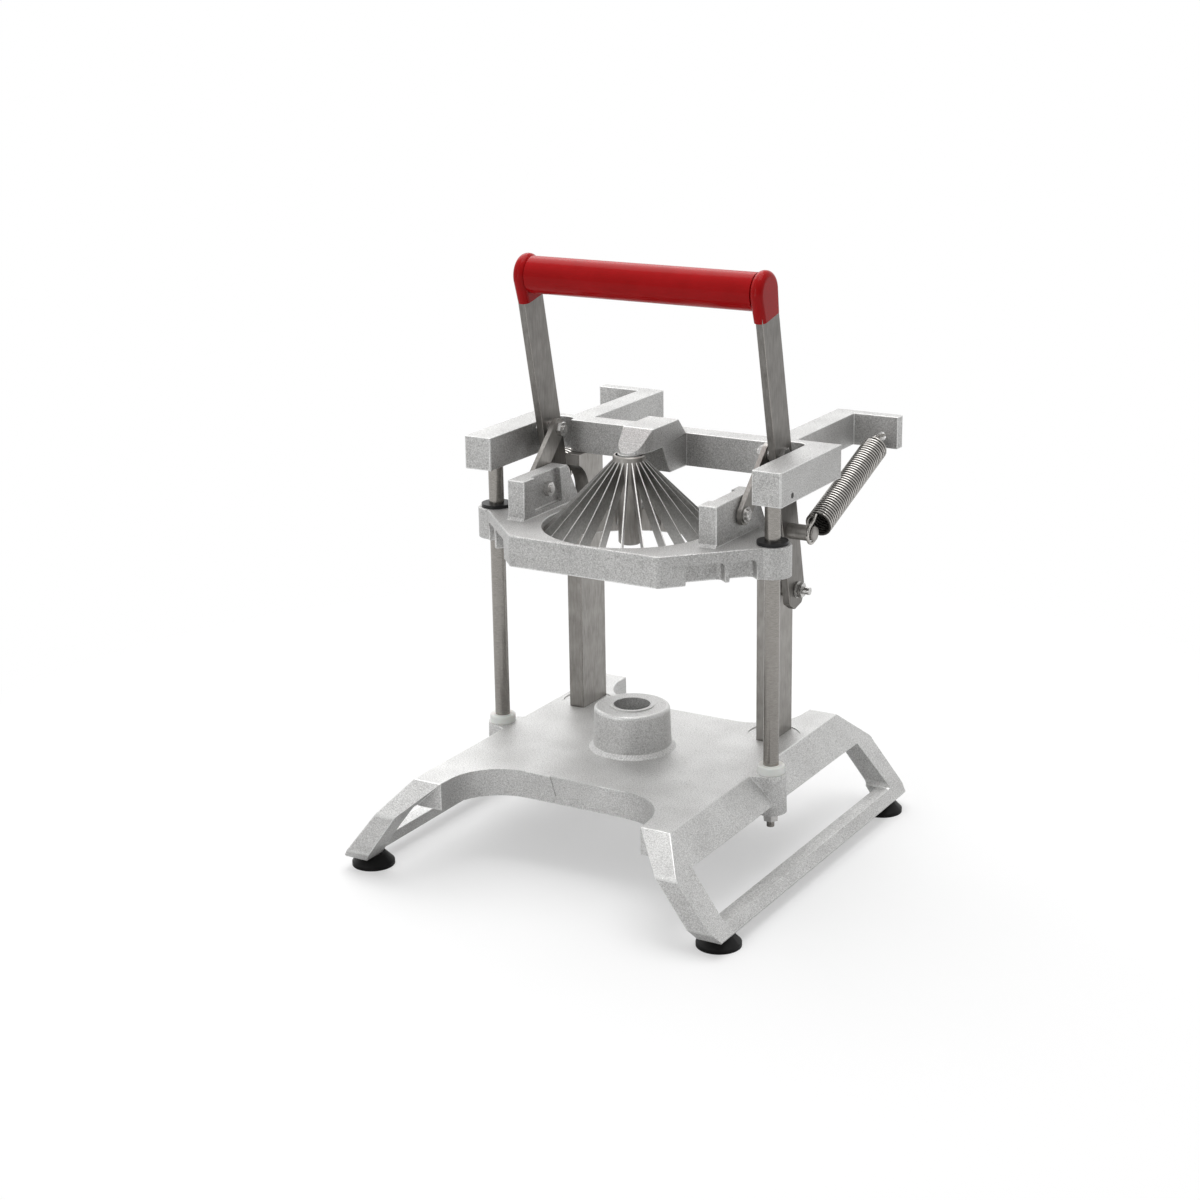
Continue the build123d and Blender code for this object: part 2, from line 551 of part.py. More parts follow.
def yoke_nose():
    """Beam from the crossbar to the blade axis: arched below, ramped at its round end, with a boss."""
    crossbar_mid = CROSSBAR_Y + CROSSBAR_DEPTH / 2
    side = [(NOSE_FRONT, NOSE_UNDERSIDE), (NOSE_FRONT, NOSE_UNDERSIDE + NOSE_SHOULDER_RISE),
            (NOSE_RAMP_Y, NOSE_CREST), (NOSE_CREST_REAR, NOSE_CREST), (CROSSBAR_Y, YOKE_TOP),
            (crossbar_mid, YOKE_TOP), (crossbar_mid, YOKE_UNDERSIDE), (NOSE_ARCH_FOOT_Y, YOKE_UNDERSIDE),
            (NOSE_ARCH_Y, NOSE_UNDERSIDE)]
    beam = prism_x(side, -NOSE_HALF_WIDTH, NOSE_HALF_WIDTH)
    half_plan = [(0, NOSE_ROUND_Y), (NOSE_RADIUS, NOSE_ROUND_Y), (NOSE_HALF_WIDTH, NOSE_RAMP_Y),
                 (NOSE_HALF_WIDTH, CROSSBAR_REAR), (0, CROSSBAR_REAR)]
    plan = make_face(Polyline(*half_plan, close=True))
    plan += mirror(plan, about=Plane.YZ) + Pos(0, NOSE_ROUND_Y) * Circle(NOSE_RADIUS)
    beam &= prism_z(plan, YOKE_UNDERSIDE, NOSE_CREST)
    return beam + post(STRIPPER_RADIUS, 0, 0, NOSE_TIP, NOSE_UNDERSIDE)


def yoke_casting():
    """One casting: crossbar, two front arms on the rods, two rear arms with hooks, and the nose."""
    yoke = block(-YOKE_ARM_OUTER, YOKE_ARM_OUTER, CROSSBAR_Y, CROSSBAR_REAR, YOKE_UNDERSIDE, YOKE_TOP)
    arm = block(YOKE_ARM_X, YOKE_ARM_OUTER, YOKE_ARM_FRONT, CROSSBAR_REAR, YOKE_UNDERSIDE, YOKE_TOP)
    arm += block(REAR_ARM_X, REAR_ARM_X + REAR_ARM_WIDTH, CROSSBAR_Y, HOOK_REAR_Y, YOKE_UNDERSIDE, YOKE_TOP)
    arm += block(REAR_ARM_X, HOOK_REACH_X, HOOK_REAR_Y - HOOK_DEPTH, HOOK_REAR_Y, YOKE_UNDERSIDE, YOKE_TOP)
    yoke += both_sides(arm)

    slot_face = make_face(Polyline((LEVER_SLOT_X, 0), (YOKE_ARM_X, 0), (YOKE_ARM_X, LEVER_SLOT_REAR),
                                   (LEVER_SLOT_X, LEVER_SLOT_REAR), close=True))
    slot_face = fillet(slot_face.vertices().group_by(Axis.Y)[-1], LEVER_SLOT_ROUND)
    yoke -= both_sides(prism_z(slot_face, YOKE_UNDERSIDE, YOKE_TOP))
    uprights = yoke.edges().filter_by(Axis.Z).group_by(Axis.Y)
    yoke = fillet(uprights[0] + uprights[-1], EDGE_ROUND)
    yoke = fillet(yoke.faces().filter_by(Axis.Z).sort_by(Axis.Z)[-1].outer_wire().edges(), EDGE_ROUND / 2)
    yoke += yoke_nose()

    hook_hole = Plane.XZ.offset(-HOOK_REAR_Y) * Pos(SPRING_X, HOOK_Z) * Circle(HOOK_HOLE_RADIUS)
    cuts = extrude(hook_hole, amount=HOOK_DEPTH)
    cuts += post(ROD_RADIUS + BORE_CLEARANCE, ROD_X, 0, YOKE_UNDERSIDE, YOKE_UNDERSIDE + ROD_TOP_IN_YOKE)
    cuts += bar_x(SCREW_RADIUS + BORE_CLEARANCE, ROD_X, YOKE_ARM_OUTER, 0, YOKE_UNDERSIDE + SET_SCREW_RISE)
    cuts += tenon(SLOT_CLEARANCE)
    yoke -= both_sides(cuts)
    return yoke - post(STRIPPER_SPIGOT_RADIUS + BORE_CLEARANCE, 0, 0, NOSE_TIP, NOSE_UNDERSIDE)


def yoke_set_screw():
    """Grub screw that locks a rod in the yoke arm."""
    x = ROD_X + ROD_RADIUS
    return bar_x(SCREW_RADIUS, x, x + SET_SCREW_LENGTH, 0, YOKE_UNDERSIDE + SET_SCREW_RISE)


def stripper_rod():
    """Fixed rod on the blade axis that pushes the core out of the rising hub."""
    rod = post(STRIPPER_RADIUS, 0, 0, STRIPPER_END, NOSE_TIP)
    rod = chamfer(rod.edges().group_by(Axis.Z)[0], EDGE_ROUND)
    return rod + post(STRIPPER_SPIGOT_RADIUS, 0, 0, NOSE_TIP, NOSE_UNDERSIDE)


# ---------------------------------------------------------------- sliding head
def head_plan():
    """Plan of the head: an octagon cut across the rod bosses."""
    front_x = HEAD_FRONT_CHAMFER - HEAD_FRONT_Y
    rear_x = HEAD_REAR_CHAMFER - HEAD_FRONT_Y
    points = [(front_x, -HEAD_FRONT_Y), (HEAD_FRONT_CHAMFER - HEAD_BOSS_RADIUS, -HEAD_BOSS_RADIUS),
              (ROD_X, 0), (HEAD_REAR_CHAMFER - HEAD_BOSS_RADIUS, HEAD_BOSS_RADIUS), (rear_x, HEAD_FRONT_Y)]
    points += [(-x, y) for x, y in reversed(points)]
    return make_face(Polyline(*points, close=True))


def head_pocket(x_from, x_to, chamfer_line, side):
    """One hollow under the flange, sunk into the slanting face of a corner."""
    def on_face(x, inward):
        return x - inward, side * (chamfer_line - x - inward)

    inward = HEAD_POCKET_DEPTH / sqrt(2)
    points = [on_face(x_from, inward), on_face(x_to, inward), on_face(x_to, -inward), on_face(x_from, -inward)]
    plan = make_face(Polyline(*points, close=True))
    pocket = prism_z(plan, HEAD_BOTTOM, HEAD_TOP - HEAD_FLANGE)
    inner = pocket.edges().filter_by(Axis.Z).sort_by(lambda edge: hypot(edge.center().X, edge.center().Y))[:2]
    pocket = fillet(inner, HEAD_POCKET_ROUND)
    return fillet(pocket.edges().group_by(Axis.Z)[-1], HEAD_POCKET_ROUND)


def head_lug():
    """Upright ear that takes the lower end of a link, recessed on its inner face."""
    side = [(LUG_FRONT, HEAD_TOP - HEAD_FLANGE), (LUG_FRONT, LUG_TOP), (LUG_TOP_REAR, LUG_TOP),
            (LUG_FOOT_REAR, HEAD_TOP), (LUG_FOOT_REAR, HEAD_TOP - HEAD_FLANGE)]
    lug = prism_x(side, LUG_X, LUG_OUTER_X)
    lug += prism_x([(LUG_FRONT - LUG_BEAD, HEAD_TOP), (LUG_FRONT, HEAD_TOP + LUG_BEAD),
                    (LUG_FOOT_REAR, HEAD_TOP + LUG_BEAD), (LUG_FOOT_REAR, HEAD_TOP)], LUG_X, LUG_OUTER_X)
    floor = LUG_TOP - LUG_RECESS_DROP
    recess = [(LUG_RECESS_FRONT, floor), (LUG_RECESS_REAR, floor),
              (LUG_RECESS_REAR - LUG_RECESS_DRAFT, LUG_TOP), (LUG_RECESS_FRONT, LUG_TOP)]
    return lug - prism_x(recess, LUG_X, LUG_X + LUG_RECESS_DEPTH)


def head_casting():
    """One casting: plate round the blades with arms to the rod bosses, hollow corners, two lugs."""
    head = prism_z(head_plan(), HEAD_BOTTOM, HEAD_TOP)
    head = fillet(head.edges().filter_by(Axis.Z).group_by(Axis.Y)[0], HEAD_FRONT_ROUND)
    rod_boss = post(HEAD_BOSS_RADIUS, ROD_X, 0, HEAD_BOTTOM, HEAD_TOP)
    head += both_sides(rod_boss)
    head = fillet(head.faces().sort_by(Axis.Z)[-1].outer_wire().edges(), EDGE_ROUND)
    for line, side in ((HEAD_FRONT_CHAMFER, -1), (HEAD_REAR_CHAMFER, 1)):
        for x_from, x_to in HEAD_POCKETS:
            head -= both_sides(head_pocket(x_from, x_to, line, side) - rod_boss)
    head -= post(HEAD_BORE_RADIUS, 0, 0, HEAD_BOTTOM, HEAD_TOP)
    head += both_sides(head_lug())
    holes = post(BUSHING_RADIUS + BORE_CLEARANCE, ROD_X, 0, HEAD_BOTTOM, HEAD_TOP)
    holes += hole_x(LUG_X, LUG_OUTER_X, LUG_PIN_Y, LUG_PIN_Z)
    return head - both_sides(holes)


def rod_bushing():
    """Flanged plastic bushing that runs on the guide rod."""
    bush = post(BUSHING_RADIUS, ROD_X, 0, HEAD_BOTTOM, HEAD_TOP)
    bush += post(BUSHING_FLANGE_RADIUS, ROD_X, 0, HEAD_TOP, HEAD_TOP + BUSHING_FLANGE_HEIGHT)
    bore = post(ROD_RADIUS + BORE_CLEARANCE, ROD_X, 0, HEAD_BOTTOM, HEAD_TOP + BUSHING_FLANGE_HEIGHT)
    return bush - bore


# ---------------------------------------------------------------- cutting cone
def blade(clearance=0.0):
    """One blade in the plane y = 0, its top edge sloping down from the hub to the band."""
    slope = tan(radians(BLADE_SLOPE))
    inner = HUB_RADIUS - HUB_SLOT_DEPTH - clearance
    outer = HEAD_BORE_RADIUS - BORE_CLEARANCE - BAND_WALL + BAND_SLOT_DEPTH + clearance
    rise = BLADE_APEX + clearance
    points = [(inner, rise - slope * inner), (outer, rise - slope * outer),
              (outer, rise - slope * outer - BLADE_DEPTH - 2 * clearance),
              (inner, rise - slope * inner - BLADE_DEPTH - 2 * clearance)]
    face = Plane.XZ * make_face(Polyline(*points, close=True))
    return extrude(face, amount=BLADE_THICKNESS / 2 + clearance, both=True)


def around_hub(shape):
    """Copies of a blade, or of its slot, at every blade angle."""
    step = 360 / BLADE_COUNT
    first = BLADE_FIRST_ANGLE - 90
    return [Rot(0, 0, first + step * index) * shape for index in range(BLADE_COUNT)]


def blade_hub():
    """Thick ring in the middle of the cone, with a slot for the inner end of each blade."""
    hub = post(HUB_RADIUS, 0, 0, HUB_TOP - HUB_HEIGHT, HUB_TOP)
    hub = chamfer(hub.edges().group_by(Axis.Z)[-1], EDGE_BREAK)
    hub -= post(HUB_BORE_RADIUS, 0, 0, HUB_TOP - HUB_HEIGHT, HUB_TOP)
    return hub - around_hub(blade(SLOT_CLEARANCE))


def blade_band():
    """Thin ring pressed into the head, slotted for the outer ends of the blades."""
    outer = HEAD_BORE_RADIUS - BORE_CLEARANCE
    band = post(outer, 0, 0, BAND_TOP - BAND_HEIGHT, BAND_TOP)
    band -= post(outer - BAND_WALL, 0, 0, BAND_TOP - BAND_HEIGHT, BAND_TOP)
    return band - around_hub(blade(SLOT_CLEARANCE))


# ---------------------------------------------------------------- lever and grip
def lever_arm():
    """Flat steel bar from the pivot to the grip, bored for the link bolt and the spring pin."""
    half = ARM_WIDTH / 2
    chamfer_half = half - ARM_TAIL_CHAMFER
    corners = [(-ARM_TAIL, -chamfer_half), (-ARM_TAIL + ARM_TAIL_CHAMFER, -half), (GRIP_REACH, -half),
               (GRIP_REACH, half), (-ARM_TAIL + ARM_TAIL_CHAMFER, half), (-ARM_TAIL, chamfer_half)]
    arm = prism_x([on_arm(reach, offset) for reach, offset in corners], ARM_X, ARM_OUTER_X)
    arm += bar_x(half, ARM_X, ARM_OUTER_X, GRIP_Y, GRIP_Z)
    arm -= hole_x(ARM_X, ARM_OUTER_X, PIVOT_Y, PIVOT_Z)
    arm -= hole_x(ARM_X, ARM_OUTER_X, LINK_PIN_Y, LINK_PIN_Z)
    return arm - hole_x(ARM_X, ARM_OUTER_X, SPRING_PIN_Y, SPRING_PIN_Z)


def handle_bar():
    """Steel tube between the tops of the two arms."""
    bar = bar_x(HANDLE_BAR_RADIUS, -ARM_X, ARM_X, GRIP_Y, GRIP_Z)
    return bar - bar_x(HANDLE_BAR_RADIUS - HANDLE_BAR_WALL, -ARM_X, ARM_X, GRIP_Y, GRIP_Z)


def grip_sleeve():
    """Soft sleeve on the handle bar."""
    sleeve = bar_x(GRIP_RADIUS, -GRIP_HALF_LENGTH, GRIP_HALF_LENGTH, GRIP_Y, GRIP_Z)
    bore = HANDLE_BAR_RADIUS + BORE_CLEARANCE
    return sleeve - bar_x(bore, -GRIP_HALF_LENGTH, GRIP_HALF_LENGTH, GRIP_Y, GRIP_Z)


def grip_cap():
    """Moulded cap that closes the sleeve and slips down over the top of the arm."""
    outer_x = ARM_OUTER_X + CAP_WALL
    skirt_half = ARM_WIDTH / 2 + CAP_SKIRT_WALL
    outline = make_hull(Circle(CAP_RADIUS).edges() + [Line((-skirt_half, -CAP_DROP), (skirt_half, -CAP_DROP))])
    plane = Plane(origin=(GRIP_HALF_LENGTH, GRIP_Y, GRIP_Z), x_dir=(0, cos(LEAN), sin(LEAN)), z_dir=(1, 0, 0))
    cap = extrude(plane * outline, amount=outer_x - GRIP_HALF_LENGTH)
    rims = cap.faces().filter_by(Axis.X).edges()
    skirt_end = cap.faces().sort_by(Axis.Z)[0].edges()
    cap = fillet([edge for edge in rims if edge not in skirt_end], CAP_EDGE_ROUND)
    half = ARM_WIDTH / 2 + BORE_CLEARANCE
    x_from = ARM_X - BORE_CLEARANCE
    x_to = ARM_OUTER_X + BORE_CLEARANCE
    below = GRIP_REACH - CAP_DROP - CAP_RADIUS
    corners = [(below, -half), (GRIP_REACH, -half), (GRIP_REACH, half), (below, half)]
    cap -= prism_x([on_arm(reach, offset) for reach, offset in corners], x_from, x_to)
    cap -= bar_x(half, x_from, x_to, GRIP_Y, GRIP_Z)
    return cap - bar_x(HANDLE_BAR_RADIUS + BORE_CLEARANCE, GRIP_HALF_LENGTH, ARM_X, GRIP_Y, GRIP_Z)


def spring_pin():
    """Turned pin riveted into the arm, grooved for the spring's lower loop."""
    pin = bar_x(SPRING_PIN_RADIUS, ARM_OUTER_X, SPRING_PIN_END_X, SPRING_PIN_Y, SPRING_PIN_Z)
    pin = chamfer(pin.edges().group_by(Axis.X)[-1], EDGE_BREAK)
    start = SPRING_X - SPRING_GROOVE_WIDTH / 2
    ring = bar_x(SPRING_PIN_RADIUS, start, start + SPRING_GROOVE_WIDTH, SPRING_PIN_Y, SPRING_PIN_Z)
    ring -= bar_x(SPRING_GROOVE_RADIUS, start, start + SPRING_GROOVE_WIDTH, SPRING_PIN_Y, SPRING_PIN_Z)
    return pin - ring + bar_x(BOLT_RADIUS, ARM_X, ARM_OUTER_X, SPRING_PIN_Y, SPRING_PIN_Z)


# ---------------------------------------------------------------- links and bolts
def link():
    """Flat steel link with round ends, from the lever down to the head's lug."""
    length = hypot(LINK_PIN_Y - LUG_PIN_Y, LINK_PIN_Z - LUG_PIN_Z)
    angle = atan2(LINK_PIN_Z - LUG_PIN_Z, LINK_PIN_Y - LUG_PIN_Y)
    middle = (LINK_X, (LINK_PIN_Y + LUG_PIN_Y) / 2, (LINK_PIN_Z + LUG_PIN_Z) / 2)
    plane = Plane(origin=middle, x_dir=(0, cos(angle), sin(angle)), z_dir=(1, 0, 0))
    outline = SlotCenterToCenter(length, 2 * LINK_END_RADIUS)
    plate = extrude(plane * outline, amount=LINK_THICKNESS)
    plate -= hole_x(LINK_X, LINK_OUTER_X, LUG_PIN_Y, LUG_PIN_Z)
    return plate - hole_x(LINK_X, LINK_OUTER_X, LINK_PIN_Y, LINK_PIN_Z)


def link_top_bolt():
    """Bolt through the lever arm to the link, with the spacer between the two."""
    head = hex_x(ARM_OUTER_X, ARM_OUTER_X + HEX_HEIGHT, LINK_PIN_Y, LINK_PIN_Z)
    shank = bar_x(BOLT_RADIUS, ARM_X, ARM_OUTER_X, LINK_PIN_Y, LINK_PIN_Z)
    spacer = bar_x(WASHER_RADIUS, LINK_OUTER_X + FACE_GAP, ARM_X, LINK_PIN_Y, LINK_PIN_Z)
    return head + shank + spacer


def link_top_nut():
    """Nut on the inner side of the link, with the bolt's end in it."""
    nut = hex_x(LINK_X - HEX_HEIGHT, LINK_X, LINK_PIN_Y, LINK_PIN_Z)
    stud = bar_x(BOLT_RADIUS, LINK_X - HEX_HEIGHT - BOLT_TIP, LINK_OUTER_X, LINK_PIN_Y, LINK_PIN_Z)
    return nut + stud


def lug_bolt():
    """Button-head bolt from outside, through washer, link and lug."""
    inner = LUG_X + LUG_RECESS_DEPTH - HEX_HEIGHT - BOLT_TIP
    head_x = LINK_OUTER_X + FACE_GAP + WASHER_THICKNESS
    shank = bar_x(BOLT_RADIUS, inner, head_x, LUG_PIN_Y, LUG_PIN_Z)
    head = bar_x(BUTTON_RADIUS, head_x, head_x + BUTTON_HEIGHT, LUG_PIN_Y, LUG_PIN_Z)
    head = chamfer(head.edges().group_by(Axis.X)[-1], BUTTON_ROUND / 2, BUTTON_ROUND)
    return shank + head


def lug_washer():
    """Washer under the button head."""
    return washer_x(LINK_OUTER_X + FACE_GAP, LUG_PIN_Y, LUG_PIN_Z)


def lug_nut():
    """Hexagon nut in the recess of the lug."""
    floor = LUG_X + LUG_RECESS_DEPTH
    return hex_x(floor - HEX_HEIGHT, floor, LUG_PIN_Y, LUG_PIN_Z, BOLT_RADIUS + BORE_CLEARANCE)


def pivot_bolt():
    """Long bolt through column, spacer and arm: the lever turns on it."""
    head = hex_x(COLUMN_X - HEX_HEIGHT, COLUMN_X, PIVOT_Y, PIVOT_Z)
    end = pivot_nut_face() + HEX_HEIGHT + STUD_TIP
    return head + bar_x(BOLT_RADIUS, COLUMN_X, end, PIVOT_Y, PIVOT_Z)


def pivot_nut_face():
    return ARM_OUTER_X + FACE_GAP + WASHER_THICKNESS


def pivot_spacer():
    """Plain bush that holds the arm off the column."""
    start = COLUMN_X + COLUMN_THICKNESS
    end = ARM_X - FACE_GAP
    return bar_x(WASHER_RADIUS, start, end, PIVOT_Y, PIVOT_Z) - hole_x(start, end, PIVOT_Y, PIVOT_Z)


def pivot_washer():
    """Washer outside the arm."""
    return washer_x(ARM_OUTER_X + FACE_GAP, PIVOT_Y, PIVOT_Z)


def pivot_nut():
    """Nut outside the washer."""
    face = pivot_nut_face()
    return hex_x(face, face + HEX_HEIGHT, PIVOT_Y, PIVOT_Z, BOLT_RADIUS + BORE_CLEARANCE)


# ---------------------------------------------------------------- return springs
def on_spring(along, offset=0.0):
    """Point (y, z) at a distance down the spring from its hook, and an offset upwards."""
    y = HOOK_Y - along * cos(SPRING_ANGLE) - offset * sin(SPRING_ANGLE)
    z = HOOK_Z - along * sin(SPRING_ANGLE) + offset * cos(SPRING_ANGLE)
    return y, z


def spring_plane():
    return Plane(origin=(SPRING_X, 0, 0), x_dir=(0, 1, 0), z_dir=(1, 0, 0))


def wire_along(path):
    """Round wire swept along a path drawn in the spring's plane."""
    line = spring_plane() * path
    section = Plane(origin=line @ 0, z_dir=line % 0) * Circle(WIRE_RADIUS)
    return sweep(section, path=line)


def spring_hook():
    """Upper end: the wire leaves the coil, passes through the yoke's hook and turns up."""
    tilt = radians(HOOK_TILT)
    exit_along = (HOOK_DEPTH / 2 + HOOK_TAIL_GAP) / cos(tilt)
    lead_y = HOOK_Y - HOOK_LEAD * cos(tilt)
    lead_z = HOOK_Z + HOOK_LEAD * sin(tilt)
    exit_y = HOOK_Y + exit_along * cos(tilt)
    exit_z = HOOK_Z - exit_along * sin(tilt)
    start = on_spring(COIL_START, HOOK_LINE_OFFSET)
    path = FilletPolyline(start, (lead_y, lead_z), (exit_y, exit_z),
                          (exit_y + WIRE_RADIUS, exit_z + HOOK_TAIL), radius=HOOK_BEND_RADIUS)
    return wire_along(path)


def spring_coil():
    """Close-wound coil, drawn as a sleeve of its outer shape, with the lower loop round the pin."""
    y, z = on_spring(COIL_START)
    plane = Plane(origin=(SPRING_X, y, z), x_dir=(1, 0, 0),
                  z_dir=(0, -cos(SPRING_ANGLE), -sin(SPRING_ANGLE)))
    coil = plane * Cylinder(COIL_RADIUS, COIL_LENGTH, align=(MID, MID, LOW))
    coil -= plane * Cylinder(COIL_RADIUS - 2 * WIRE_RADIUS, COIL_LENGTH, align=(MID, MID, LOW))
    loop_radius = HOOK_LINE_OFFSET
    lead = Line(on_spring(COIL_START + COIL_LENGTH - WIRE_RADIUS, loop_radius), on_spring(SPRING_SPAN, loop_radius))
    start_angle = degrees(SPRING_ANGLE) + 90
    turn = CenterArc((SPRING_PIN_Y, SPRING_PIN_Z), loop_radius, start_angle, LOOP_SWEEP)
    return coil + wire_along(Wire([lead, turn]))


# ---------------------------------------------------------------- write the nodes
BASE_REAR = spring_hook().bounding_box().max.Y
MIDDLE_Y = (BASE_REAR - BASE_HALF_DEPTH) / 2


def save(name, solids):
    """Write one node, moved so that the origin is under the middle of the whole press."""
    pieces = solids if isinstance(solids, list) else [solids]
    moved = [Pos(0, -MIDDLE_Y, 0) * piece for piece in pieces]
    if len(moved) == 1:
        shape = moved[0]
    else:
        shape = Compound(children=[solid for piece in moved for solid in piece.solids()])
    export_step(shape, f"parts/{name}.step")


def save_pair(name, right):
    """Write the right-hand piece and its mirror image as two nodes."""
    save(f"{name}_right", right)
    save(f"{name}_left", mirror(right, about=Plane.YZ))


def save_group(name, right):
    """Write identical right-hand and left-hand pieces as one node of separate solids."""
    pieces = right if isinstance(right, list) else [right]
    save(name, pieces + [mirror(piece, about=Plane.YZ) for piece in pieces])


save("base_casting", base_casting())
save("rubber_feet", rubber_feet())
save("foot_screws", foot_screws())
save_pair("guide_rod", guide_rod())
save_group("rod_nuts", rod_nut())
save_pair("bumper_washer", bumper_washer())
save_pair("rear_column", rear_column())
save_group("column_screws", column_screws())
save("yoke_casting", yoke_casting())
save_group("yoke_set_screws", yoke_set_screw())
save("stripper_rod", stripper_rod())
save_group("pivot_bolts", pivot_bolt())
save_group("pivot_spacers", pivot_spacer())
save_group("pivot_washers", pivot_washer())
save_group("pivot_nuts", pivot_nut())

save("head_casting", head_casting())
save_pair("rod_bushing", rod_bushing())
save("blade_hub", blade_hub())
save("cutting_blades", around_hub(blade()))
save("blade_band", blade_band())
save_group("lug_bolts", lug_bolt())
save_group("lug_washers", lug_washer())
save_group("lug_nuts", lug_nut())

save_pair("lever_arm", lever_arm())
save("handle_bar", handle_bar())
save("grip_sleeve", grip_sleeve())
save_pair("grip_cap", grip_cap())
save_pair("spring_pin", spring_pin())
save_group("link_top_bolts", link_top_bolt())
save_pair("link", link())
save_pair("link_top_nut", link_top_nut())

save_pair("spring_hook", spring_hook())
save_pair("spring_coil", spring_coil())
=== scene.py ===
# %% [markdown]
# # A lever press that opens an onion into petals
#
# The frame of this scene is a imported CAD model: castings, rods, lever, links and blades, each a
# node of its own at its real place. This script gives every node its finish, and makes the pieces
# whose looks need more than a machined solid: castings with soft edges, and springs of wound wire.
# Everything is in metres: X to the operator's right, Y away from the operator, Z up.

# %% Load the frame
import json
import math

import bmesh
import bpy
from mathutils import Matrix, Vector

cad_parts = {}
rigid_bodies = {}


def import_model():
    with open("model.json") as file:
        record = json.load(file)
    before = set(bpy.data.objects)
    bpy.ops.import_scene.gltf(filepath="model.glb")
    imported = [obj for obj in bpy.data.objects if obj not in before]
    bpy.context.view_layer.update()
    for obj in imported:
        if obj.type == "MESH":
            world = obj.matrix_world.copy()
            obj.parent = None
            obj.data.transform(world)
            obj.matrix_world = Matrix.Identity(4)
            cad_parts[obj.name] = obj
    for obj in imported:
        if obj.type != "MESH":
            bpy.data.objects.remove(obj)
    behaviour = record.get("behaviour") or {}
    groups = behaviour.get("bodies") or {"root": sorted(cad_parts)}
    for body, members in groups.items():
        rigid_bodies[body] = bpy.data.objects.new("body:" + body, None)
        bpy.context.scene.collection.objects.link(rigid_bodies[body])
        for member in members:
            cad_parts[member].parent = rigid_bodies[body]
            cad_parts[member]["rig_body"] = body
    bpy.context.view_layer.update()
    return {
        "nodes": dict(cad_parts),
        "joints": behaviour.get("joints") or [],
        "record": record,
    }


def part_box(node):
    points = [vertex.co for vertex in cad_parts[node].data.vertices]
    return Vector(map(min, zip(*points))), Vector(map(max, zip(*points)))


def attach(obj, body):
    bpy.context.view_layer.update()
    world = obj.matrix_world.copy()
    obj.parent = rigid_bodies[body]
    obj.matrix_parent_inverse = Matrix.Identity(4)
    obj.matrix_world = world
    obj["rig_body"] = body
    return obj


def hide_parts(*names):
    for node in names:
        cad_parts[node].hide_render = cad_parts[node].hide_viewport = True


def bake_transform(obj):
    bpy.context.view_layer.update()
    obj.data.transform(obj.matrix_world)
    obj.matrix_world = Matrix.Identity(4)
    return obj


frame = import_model()
nodes = frame["nodes"]
MM = 0.001

# %% [markdown]
# ## Where things are
#
# Places come from the frame, so a change in the model moves the pieces made here too. The plane
# of the two guide rods is the one that the camera is placed from, and each spring's hook, pin and
# direction are read from the joints and the boxes of the nodes.

# %% Places from the frame
joints = {joint["name"]: joint for joint in frame["joints"]}


def middle(node):
    """Middle of a CAD node's box."""
    low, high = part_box(node)
    return (low + high) / 2


ROD_Y = middle("guide_rod_right").y
print("rod plane at y =", round(ROD_Y / MM, 2), "mm")

# %% [markdown]
# ## Arithmetic for shaders
#
# Shader maths could be drawn by hand as a net of Math nodes, but it reads best as ordinary
# arithmetic. `Wire` wraps one output socket, and its operators add the Math nodes. The reflected
# forms let a plain number stand on the left, as in `1 - mask`.

# %% A wire between nodes
class Wire:
    """An output socket that can be used in arithmetic."""

    def __init__(self, finish, socket):
        self.finish = finish
        self.socket = socket

    def maths(self, operation, *values):
        """One Math node, fed with wires or numbers."""
        return self.finish.node("ShaderNodeMath", {"operation": operation}, dict(enumerate(values)))

    def __add__(self, other):
        return self.maths("ADD", self, other)

    def __sub__(self, other):
        return self.maths("SUBTRACT", self, other)

    def __rsub__(self, other):
        return self.maths("SUBTRACT", other, self)

    def __mul__(self, other):
        return self.maths("MULTIPLY", self, other)

    __radd__ = __add__
    __rmul__ = __mul__


print("wires can be added, subtracted and multiplied")

# %% [markdown]
# ## One finish, one material
#
# `Finish` is one material. Its `node` method adds any node from its type, its settings and the
# values of its sockets, and the short methods below it are the few patterns that every metal and
# plastic of this press is made of: noise, a slope between two values, a blend and a bump. The
# noise sits in object coordinates, so that the grain is the same size on every piece.

# %% A finish
MIX_FIRST, MIX_SECOND, MIX_RESULT = 6, 7, 2  # colour sockets of the Mix node


def opaque(value):
    """A colour of three numbers with its alpha added; a wire stays as it is."""
    return (*value, 1.0) if isinstance(value, tuple) else value


